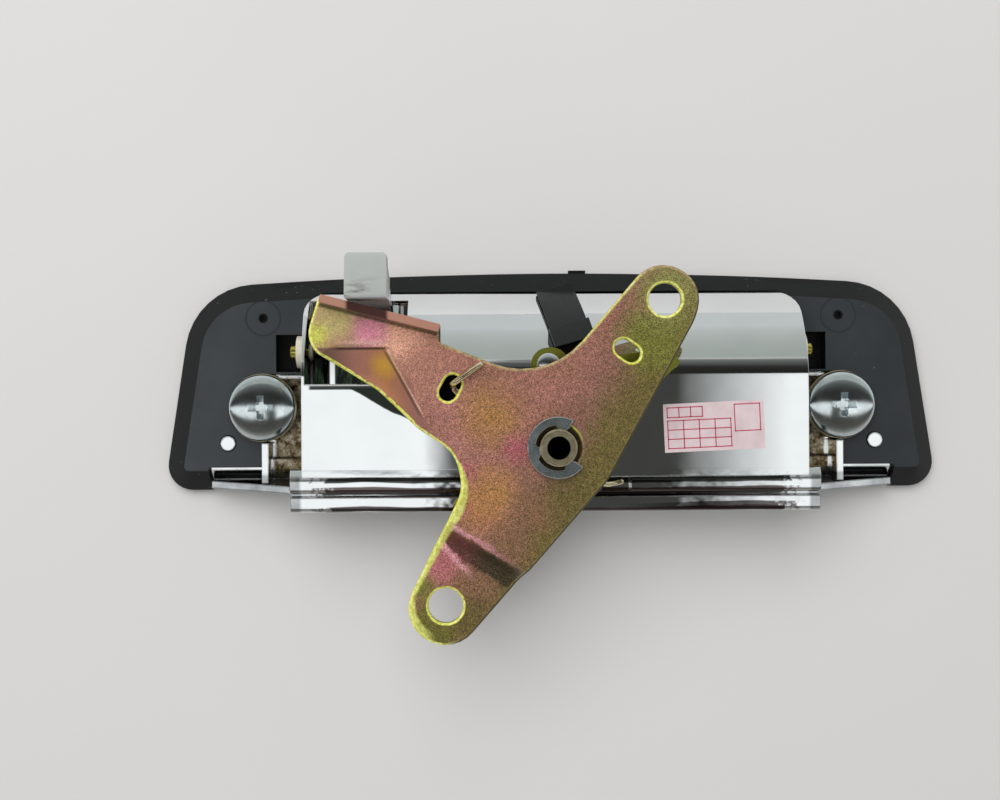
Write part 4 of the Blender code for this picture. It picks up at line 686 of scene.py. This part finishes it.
def yellow_zinc():
    """Yellow passivated zinc with a fine grain and painted glints."""
    graph = new_material("yellow_zinc")
    graph.set("Metallic", 0.45)
    colour, flange = flange_shade(graph, scoop_shade(graph, joggle_shade(graph, zinc_colour(graph))))
    # Painted highlight: the rolled edge's yellow-green, widened onto the face
    rim = wide_rim_highlight(graph)
    colour = graph.paint(colour, rim, rim_highlight_yellow(graph), 0.92)
    smooth = graph.math("MAXIMUM", flange, graph.math("MULTIPLY", scoop_area(graph), 0.85))
    smooth = graph.math("MAXIMUM", smooth, graph.remap(graph.axis("X"), *mm(-62.0, -30.0), 0.55, 0.0))
    smooth = graph.math("MAXIMUM", smooth, graph.math("MULTIPLY", rim, 0.7))
    colour, grain = sparkle(graph, colour, smooth)
    graph.set("Base Color", colour)
    graph.set("Roughness", 0.4)
    graph.bump(grain, 0.2, 0.05 * MM)
    return graph.material


def zinc_rim():
    """Cut edge of the crank's sheet, with painted light by the way it faces: a painted yellow-green highlight
    at its left and in its holes, tan above, painted shade at its right.
    """
    graph = new_material("yellow_zinc_rim")
    graph.set("Metallic", 0.15)
    normal = graph.normal()
    left = graph.along((-0.80, -0.60, 0.0), normal)
    right = graph.along((0.75, -0.66, 0.0), normal)
    mottle = graph.noise(900.0, 4.0, 0.65)
    bright = graph.ramp(mottle, [
        (0.34, (0.50, 0.52, 0.05)),
        (0.50, (0.86, 0.88, 0.14)),
        (0.66, (1.0, 1.0, 0.50)),
    ])
    tan = graph.ramp(mottle, [(0.35, (0.20, 0.14, 0.05)), (0.65, (0.56, 0.44, 0.20))])
    # Painted shade on edges that face right; tan on the rest
    colour = graph.mix(graph.remap(right, 0.15, 0.5), tan, (0.07, 0.06, 0.02))
    inner = graph.fall(graph.along(RIGHT_EDGE_NORMAL), *mm(12.0, 16.0))
    # Painted highlight on edges that face left and down
    colour = graph.mix(graph.both(graph.remap(left, 0.02, 0.25), inner), colour, bright)
    # Painted highlight round the holes
    for hole in HOLES:
        colour = graph.mix(graph.near(hole, HOLE_REACH, 0.3 * MM), colour, bright)
    face = graph.shade(zinc_colour(graph), graph.remap(mottle, 0.35, 0.65, 0.6, 1.4))
    face = graph.mix(wide_rim_highlight(graph), face, rim_highlight_yellow(graph))
    level = graph.remap(graph.axis("Z", normal), 0.90, 0.99)
    graph.set("Base Color", graph.mix(level, colour, face))
    graph.set("Roughness", 0.45)
    return graph.material


def plated_steel(name, colour, roughness, variation=0.85, metallic=1.0):
    """Zinc plated or turned steel with fine streaks."""
    graph = new_material(name)
    graph.set("Metallic", metallic)
    streak = graph.noise(240.0, 3.0, 0.6)
    other = tuple(channel * variation for channel in colour)
    graph.set("Base Color", graph.ramp(streak, [(0.35, colour), (0.7, other)]))
    graph.set("Roughness", graph.remap(streak, *NOISE_RANGE, roughness * 0.8, roughness * 1.3))
    graph.bump(streak, 0.08, 0.05 * MM)
    return graph.material


# Bore of the post: reach from its axis where painted shade makes it black, and where it is bright
POST_BORE = mm(3.35, 3.6)


def post_steel():
    """Turned post, khaki on its end, with painted black shade inside its bore."""
    graph = new_material("post_finish")
    graph.set("Metallic", 1.0)
    turned = graph.ramp(graph.noise(500.0, 3.0), [(0.35, (0.62, 0.55, 0.36)), (0.7, (0.44, 0.38, 0.24))])
    item = graph.node("ShaderNodeVectorMath", operation="MULTIPLY")
    item.inputs[1].default_value = (1.0, 1.0, 0.0)
    graph.link(graph.place(), item.inputs[0])
    reach = graph.node("ShaderNodeVectorMath", operation="DISTANCE")
    reach.inputs[1].default_value = (*PIVOT, 0.0)
    graph.link(item.outputs["Vector"], reach.inputs[0])
    bore = graph.fall(reach.outputs["Value"], *POST_BORE)
    graph.set("Base Color", graph.mix(bore, turned, BORE_SHADE_BLACK))
    graph.set("Roughness", graph.blend(bore, 0.32, 0.8))
    return graph.material


def plain(name, colour, roughness, grain=600.0):
    """Plastic or rubber with a fine grain."""
    graph = new_material(name)
    fine = graph.noise(grain, 3.0)
    other = tuple(channel * 0.85 for channel in colour)
    graph.set("Base Color", graph.ramp(fine, [(0.35, colour), (0.7, other)]))
    graph.set("Roughness", graph.remap(fine, *NOISE_RANGE, roughness * 0.9, roughness * 1.1))
    graph.bump(fine, 0.1, 0.05 * MM)
    return graph.material


def add_piece(name, mesh, *materials):
    piece = bpy.data.objects.new(name, mesh)
    bpy.context.collection.objects.link(piece)
    for material in materials:
        mesh.materials.append(material)
    return piece


JOIN_DISTANCE = 0.002 * MM
CUT_DISTANCE = 0.001 * MM
FLAT_DEG = 0.4
LEVEL_NORMAL_Z = 0.99999


def cleaned(node, merge_flats):
    """Mesh of a node with its points joined, and its flat faces merged where that is wanted."""
    bm = bmesh.new()
    bm.from_mesh(nodes[node].data)
    bmesh.ops.remove_doubles(bm, verts=bm.verts, dist=JOIN_DISTANCE)
    if merge_flats:
        bmesh.ops.dissolve_limit(bm, angle_limit=math.radians(FLAT_DEG), verts=bm.verts, edges=bm.edges)
    return bm


def shade_by_angle(bm, sharp_deg):
    """Smooth shading with sharp edges past an angle, and round every level face, so that it mirrors truly."""
    for face in bm.faces:
        face.smooth = True
    for edge in bm.edges:
        level = [abs(face.normal.z) > LEVEL_NORMAL_Z for face in edge.link_faces]
        edge.smooth = edge.calc_face_angle(0.0) < math.radians(sharp_deg) and len(set(level)) == 1


def keep_flats(piece):
    """Weight the shading by face area, so that flats stay flat beside rounded edges."""
    flats = piece.modifiers.new("flats", "WEIGHTED_NORMAL")
    flats.weight = 100
    flats.keep_sharp = True


def dress(node, material, body, bevel=0.0, sharp_deg=32.0, segments=2, shape=None):
    """Stand-in for a rigid node: the same form with rounded edges and smooth shading."""
    bm = cleaned(node, bevel > 0.0)
    if shape is not None:
        shape(bm)
    bm.normal_update()
    shade_by_angle(bm, sharp_deg)
    mesh = bpy.data.meshes.new(f"{node}_finish")
    bm.to_mesh(mesh)
    bm.free()
    piece = add_piece(f"{node}_finish", mesh, material)
    if bevel > 0.0:
        modifier = piece.modifiers.new("edges", "BEVEL")
        modifier.width = bevel
        modifier.segments = segments
        modifier.limit_method = "ANGLE"
        modifier.angle_limit = math.radians(sharp_deg)
    keep_flats(piece)
    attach(piece, body)
    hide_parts(node)
    return piece


# Rounding of the lever's end
LEVER_END_Y = 38.1 * MM
LEVER_CORNER = 2.2 * MM
LEVER_CORNER_CUTS_DEG = (18.0, 45.0, 72.0)


def with_edges(faces):
    """Faces with their points and edges, as the cutting tool wants them, in the same order at each run."""
    verts = dict.fromkeys(vert for face in faces for vert in face.verts)
    edges = dict.fromkeys(edge for face in faces for edge in face.edges)
    return [*verts, *edges, *faces]


def round_lever(bm):
    """Cut the two far corners of the lever, seen from above, to a round shape."""
    for outward, edge_x in ((-1.0, LEVER_SIDES[0]), (1.0, LEVER_SIDES[1])):
        centre = Vector((edge_x - outward * LEVER_CORNER, LEVER_END_Y - LEVER_CORNER, 0.0))
        for degrees in LEVER_CORNER_CUTS_DEG:
            turn = math.radians(degrees)
            normal = Vector((outward * math.cos(turn), math.sin(turn), 0.0))
            faces = [face for face in bm.faces if min(vert.co.z for vert in face.verts) > BACK_Z + 0.5 * MM]
            bmesh.ops.bisect_plane(bm, geom=with_edges(faces), plane_co=centre + normal * LEVER_CORNER,
                                   plane_no=normal, dist=CUT_DISTANCE, clear_outer=True)
            gap = [edge for edge in bm.edges if edge.is_boundary]
            bmesh.ops.edgeloop_fill(bm, edges=gap)


# Forming of the crank's sheet: how flat its faces are when unformed, and the fine grid over its bends
UNFORMED_FLAT_DEG = 0.6
JOGGLE_STEP = 0.5 * MM
SCOOP_STEP = 0.6 * MM
WHOLE_PLAN = ((-1.0, -1.0), (1.0, 1.0))
CRANK_SHARP_DEG = 55.0


def crank_drop(x, y):
    """How far the formed sheet lies below its flat middle at a place."""
    along = x * JOGGLE_NORMAL[0] + y * JOGGLE_NORMAL[1]
    share = min(max((along - JOGGLE_START) / (JOGGLE_END - JOGGLE_START), 0.0), 1.0)
    reach = math.hypot(x - SCOOP_CENTRE[0], y - SCOOP_CENTRE[1]) / SCOOP_RADIUS
    down = min(max((1.0 - reach) / SCOOP_SLOPE_SHARE, 0.0), 1.0)
    return JOGGLE_DROP * share * share * (3 - 2 * share) + SCOOP_DEPTH * down * (2.0 - down)


def split_lines(bm, normal, start, end, step, low, high):
    """Add edges along parallel lines to the faces inside a plan box."""
    count = round((end - start) / step)
    for index in range(count + 1):
        faces = []
        for face in bm.faces:
            centre = face.calc_center_median()
            if low[0] < centre.x < high[0] and low[1] < centre.y < high[1]:
                faces.append(face)
        place = Vector(normal) * (start + step * index)
        bmesh.ops.bisect_plane(bm, geom=with_edges(faces), plane_co=place, plane_no=normal, dist=CUT_DISTANCE)


def crank_blank(bm):
    """Undo the forming of the crank's sheet, so that its faces are flat, and merge them."""
    for vert in bm.verts:
        vert.co.z += crank_drop(vert.co.x, vert.co.y)
    bmesh.ops.dissolve_limit(bm, angle_limit=math.radians(UNFORMED_FLAT_DEG), verts=bm.verts, edges=bm.edges)
    bm.normal_update()


def round_rim(bm):
    """Round the upper cut edge of the sheet, all round it and in its holes, but not at the flange's root."""
    edges = []
    for edge in bm.edges:
        at_top = all(abs(vert.co.z - CRANK_TOP_Z) < 0.01 * MM for vert in edge.verts)
        if at_top and edge.is_convex and edge.calc_face_angle(0.0) > 1.0:
            edges.append(edge)
    bmesh.ops.bevel(bm, geom=edges, offset=RIM_WIDTH, segments=4, profile=0.5, affect="EDGES",
                    clamp_overlap=False, material=1)


def crank_forming(bm):
    """Form the sheet again over a fine grid."""
    bmesh.ops.triangulate(bm, faces=bm.faces)
    split_lines(bm, (*JOGGLE_NORMAL, 0.0), JOGGLE_START, JOGGLE_END, JOGGLE_STEP, *WHOLE_PLAN)
    low = (SCOOP_CENTRE[0] - SCOOP_RADIUS, SCOOP_CENTRE[1] - SCOOP_RADIUS)
    high = (SCOOP_CENTRE[0] + SCOOP_RADIUS, SCOOP_CENTRE[1] + SCOOP_RADIUS)
    split_lines(bm, (1.0, 0.0, 0.0), low[0], high[0], SCOOP_STEP, low, high)
    split_lines(bm, (0.0, 1.0, 0.0), low[1], high[1], SCOOP_STEP, low, high)
    for vert in bm.verts:
        vert.co.z -= crank_drop(vert.co.x, vert.co.y)
    bmesh.ops.triangulate(bm, faces=bm.faces)


def bell_crank():
    """Formed sheet with a rounded rim that carries painted highlights: flattened, rounded and formed again.
    """
    bm = cleaned("bell_crank", False)
    crank_blank(bm)
    round_rim(bm)
    crank_forming(bm)
    bm.normal_update()
    for face in bm.faces:
        face.smooth = True
    for edge in bm.edges:
        edge.smooth = edge.calc_face_angle(0.0) < math.radians(CRANK_SHARP_DEG)
    mesh = bpy.data.meshes.new("bell_crank_finish")
    bm.to_mesh(mesh)
    bm.free()
    piece = add_piece("bell_crank_finish", mesh, yellow_zinc(), zinc_rim())
    keep_flats(piece)
    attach(piece, "bell_crank")
    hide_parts("bell_crank")


def dress_all():
    dress("housing", housing_plating(), "housing")
    dress("paddle", paddle_plating(), "paddle", 0.35 * MM, shape=round_lever)
    dress("backing_pad", moulded_plastic(), "housing")
    bracket = plated_steel("bracket_zinc", (0.50, 0.52, 0.08), 0.32)
    dress("pivot_bracket", bracket, "housing", 0.4 * MM)
    screw = plated_steel("screw_zinc", (0.80, 0.87, 0.89), 0.15)
    washer = plated_steel("washer_zinc", (0.66, 0.58, 0.36), 0.3)
    nylon = plain("nylon_natural", (0.72, 0.67, 0.55), 0.45)
    rubber = plain("stop_rubber_finish", (0.02, 0.02, 0.02), 0.7)
    for end in ("left", "right"):
        dress(f"mounting_screw_{end}", screw, "housing", 0.25 * MM)
        dress(f"screw_washer_{end}", washer, "housing", 0.2 * MM)
        dress(f"pin_bush_{end}", nylon, "housing", 0.2 * MM)
        dress(f"paddle_stop_{end}", rubber, "housing", 0.1 * MM)
    bracket_screw = plated_steel("bracket_screw_finish", (0.74, 0.76, 0.78), 0.2)
    for place in ("top", "right", "left"):
        dress(f"bracket_screw_{place}", bracket_screw, "housing", 0.1 * MM)
    pin = plated_steel("pin_zinc", (0.80, 0.70, 0.16), 0.25)
    dress("hinge_pin", pin, "housing", 0.15 * MM)
    dress("pivot_post", post_steel(), "housing", 0.15 * MM)
    bush = plated_steel("bush_finish", (0.10, 0.07, 0.04), 0.5)
    dress("pivot_bush", bush, "housing", 0.15 * MM)
    thrust = plated_steel("thrust_finish", (0.6, 0.6, 0.58), 0.3)
    dress("thrust_washer", thrust, "housing", 0.1 * MM)
    clip = plated_steel("clip_finish", (0.74, 0.82, 0.86), 0.16)
    dress("e_clip", clip, "housing", 0.2 * MM)
    strap = plain("strap_rubber", (0.012, 0.013, 0.014), 0.45)
    dress("stop_strap", strap, "housing", 0.35 * MM)


def dress_spring():
    """Spring wire between the fixed lip and the turning crank, with smooth shading."""
    bm = cleaned("return_spring", False)
    mesh = bpy.data.meshes.new("return_spring_wire")
    bm.to_mesh(mesh)
    bm.free()
    piece = add_piece("return_spring_wire", mesh, plated_steel("spring_finish", (0.95, 0.84, 0.56), 0.16))
    mesh.shade_smooth()
    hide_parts("return_spring")
    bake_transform(piece)


def add_box(bm, low, high):
    corners = [(x, y, z) for z in (low[2], high[2]) for x, y in (
        (low[0], low[1]), (high[0], low[1]), (high[0], high[1]), (low[0], high[1]))]
    verts = [bm.verts.new(corner) for corner in corners]
    bm.faces.new(list(reversed(verts[:4])))
    bm.faces.new(verts[4:])
    for index in range(4):
        following = (index + 1) % 4
        bm.faces.new((verts[index], verts[following], verts[following + 4], verts[index + 4]))


# Label on the back of the bucket, in its own plane before it is turned into place
LABEL_CENTRE = mm(48.8, -14.2)
LABEL_SIZE = mm(30.85, 14.9)
LABEL_TURN_DEG = 2.4
LABEL_THICKNESS = 0.08 * MM
LABEL_LINE = 0.32 * MM
INK_THICKNESS = 0.02 * MM


def label_piece(name, material, boxes, thickness_from, thickness_to):
    """Thin flat shapes on the label, each a pair of opposite corners in the label's plane."""
    bm = bmesh.new()
    for x0, y0, x1, y1 in boxes:
        add_box(bm, (min(x0, x1), min(y0, y1), thickness_from), (max(x0, x1), max(y0, y1), thickness_to))
    mesh = bpy.data.meshes.new(name)
    bm.to_mesh(mesh)
    bm.free()
    piece = add_piece(name, mesh, material)
    piece.location = (*LABEL_CENTRE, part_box("housing")[1].z + INK_THICKNESS)
    piece.rotation_euler.z = math.radians(LABEL_TURN_DEG)
    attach(piece, "housing")
    return piece


def grid_lines(left, low, right, high, columns, rows):
    """Boxes for the lines of a ruled grid."""
    half = LABEL_LINE / 2
    boxes = []
    for step in range(columns + 1):
        x = left + (right - left) * step / columns
        boxes.append((x - half, low - half, x + half, high + half))
    for step in range(rows + 1):
        y = low + (high - low) * step / rows
        boxes.append((left - half, y - half, right + half, y + half))
    return boxes


def label():
    """Generic date label: a ruled grid, a strip of cells and an empty box."""
    half_x = LABEL_SIZE[0] / 2
    half_y = LABEL_SIZE[1] / 2
    paper = plain("label_paper", (0.72, 0.58, 0.60), 0.55, 200.0)
    ink = plain("label_ink", (0.50, 0.05, 0.10), 0.5)
    label_piece("date_label", paper, [(-half_x, -half_y, half_x, half_y)], 0.0, LABEL_THICKNESS)
    lines = grid_lines(-half_x + 1.2 * MM, -half_y + 1.2 * MM, -half_x + 20.6 * MM, half_y - 5.2 * MM, 4, 3)
    lines += grid_lines(-half_x + 1.2 * MM, half_y - 4.2 * MM, -half_x + 12.0 * MM, half_y - 1.2 * MM, 3, 1)
    lines += grid_lines(half_x - 9.0 * MM, half_y - 9.2 * MM, half_x - 1.2 * MM, half_y - 1.0 * MM, 1, 1)
    label_piece("date_label_grid", ink, lines, LABEL_THICKNESS, LABEL_THICKNESS + INK_THICKNESS)


def floor():
    graph = new_material("table_top")
    graph.set("Roughness", 0.75)
    graph.set("Specular IOR Level", 0.2)
    grain = graph.noise(6.0, 4.0)
    graph.set("Base Color", graph.ramp(grain, [(0.3, (0.660, 0.650, 0.640)), (0.7, (0.676, 0.666, 0.656))]))
    bpy.ops.mesh.primitive_plane_add(size=FLOOR_SIZE, location=(0.0, 0.0, FLOOR_Z))
    table = bpy.context.object
    table.name = "table"
    table.data.materials.append(graph.material)


# One large light above the far edge of the table
KEY_PLACE = (-0.35, 0.65, 1.25)
KEY_SIZE = (1.5, 1.5)
KEY_POWER = 18.5


def area_light(name, place, target, size, power):
    data = bpy.data.lights.new(name, "AREA")
    data.shape = "RECTANGLE"
    data.size, data.size_y = size
    data.energy = power
    lamp = bpy.data.objects.new(name, data)
    bpy.context.collection.objects.link(lamp)
    lamp.location = place
    lamp.rotation_euler = (Vector(target) - Vector(place)).to_track_quat("-Z", "Y").to_euler()
    lamp.visible_glossy = False


# Room that mirrors see, by the slope y/z of the direction: each stop is a slope and a colour
ROOM_SLOPE = (-2.0, 4.0)
ROOM_STOPS = [
    (-1.80, (0.42, 0.42, 0.40)),
    (-0.80, (0.10, 0.095, 0.085)),
    (-0.30, (0.045, 0.042, 0.036)),
    (-0.21, (0.98, 1.00, 1.00)),
    (0.03, (0.98, 1.00, 1.00)),
    (0.055, (0.010, 0.010, 0.009)),
    (0.35, (0.030, 0.030, 0.028)),
    (0.68, (0.14, 0.145, 0.14)),
    (0.80, (0.23, 0.235, 0.23)),
    (0.84, (0.56, 0.58, 0.56)),
    (0.92, (0.37, 0.40, 0.37)),
    (2.00, (0.45, 0.48, 0.46)),
    (3.60, (0.56, 0.59, 0.58)),
]
OVERHEAD_DARK = (-0.024, 0.171)
OVERHEAD_DARK_SLOPE = (-0.30, 0.30)


def world():
    """Room for mirrors: dark on the near side, a white strip overhead with a dark shape in it, grey beyond.

    Everything that isn't a mirror gets a plain even light.
    """
    graph = Graph(bpy.data.worlds.new("room"))
    graph.tree.nodes.clear()
    direction = graph.node("ShaderNodeTexCoord").outputs["Generated"]
    up = graph.math("MAXIMUM", graph.axis("Z", direction), 0.02)
    slope = graph.math("DIVIDE", graph.axis("Y", direction), up)
    side = graph.math("DIVIDE", graph.axis("X", direction), up)
    low, high = ROOM_SLOPE
    stops = [((place - low) / (high - low), colour) for place, colour in ROOM_STOPS]
    room = graph.ramp(graph.remap(slope, low, high), stops)
    start, end = OVERHEAD_DARK
    dark = graph.both(
        graph.remap(side, start - 0.012, start + 0.012),
        graph.fall(side, end - 0.01, end + 0.08),
        graph.band(slope, *OVERHEAD_DARK_SLOPE, 0.02),
    )
    room = graph.mix(graph.math("MULTIPLY", dark, 0.97), room, (0.022, 0.022, 0.018))
    mirrors = graph.node("ShaderNodeBackground")
    graph.link(room, mirrors.inputs["Color"])
    even = graph.node("ShaderNodeBackground")
    even.inputs["Color"].default_value = (0.99, 1.0, 1.0, 1.0)
    even.inputs["Strength"].default_value = 0.47
    path = graph.node("ShaderNodeLightPath")
    mix = graph.node("ShaderNodeMixShader")
    graph.link(path.outputs["Is Glossy Ray"], mix.inputs["Fac"])
    graph.link(even.outputs["Background"], mix.inputs[1])
    graph.link(mirrors.outputs["Background"], mix.inputs[2])
    output = graph.node("ShaderNodeOutputWorld")
    graph.link(mix.outputs["Shader"], output.inputs["Surface"])
    bpy.context.scene.world = graph.material


def camera():
    data = bpy.data.cameras.new("photo_camera")
    data.lens = CAMERA_LENS
    data.sensor_width = 36.0
    data.sensor_fit = "HORIZONTAL"
    data.shift_x = CAMERA_SHIFT_X
    data.clip_start = 0.01
    item = bpy.data.objects.new("photo_camera", data)
    bpy.context.collection.objects.link(item)
    item.location = CAMERA_PLACE
    item.rotation_euler = (0.0, 0.0, math.radians(CAMERA_TURN_DEG))
    bpy.context.scene.camera = item


camera()
world()
floor()
area_light("key", KEY_PLACE, (0.0, 0.0, 0.0), KEY_SIZE, KEY_POWER)
dress_all()
bell_crank()
dress_spring()
label()
bpy.context.scene.view_settings.view_transform = "Standard"
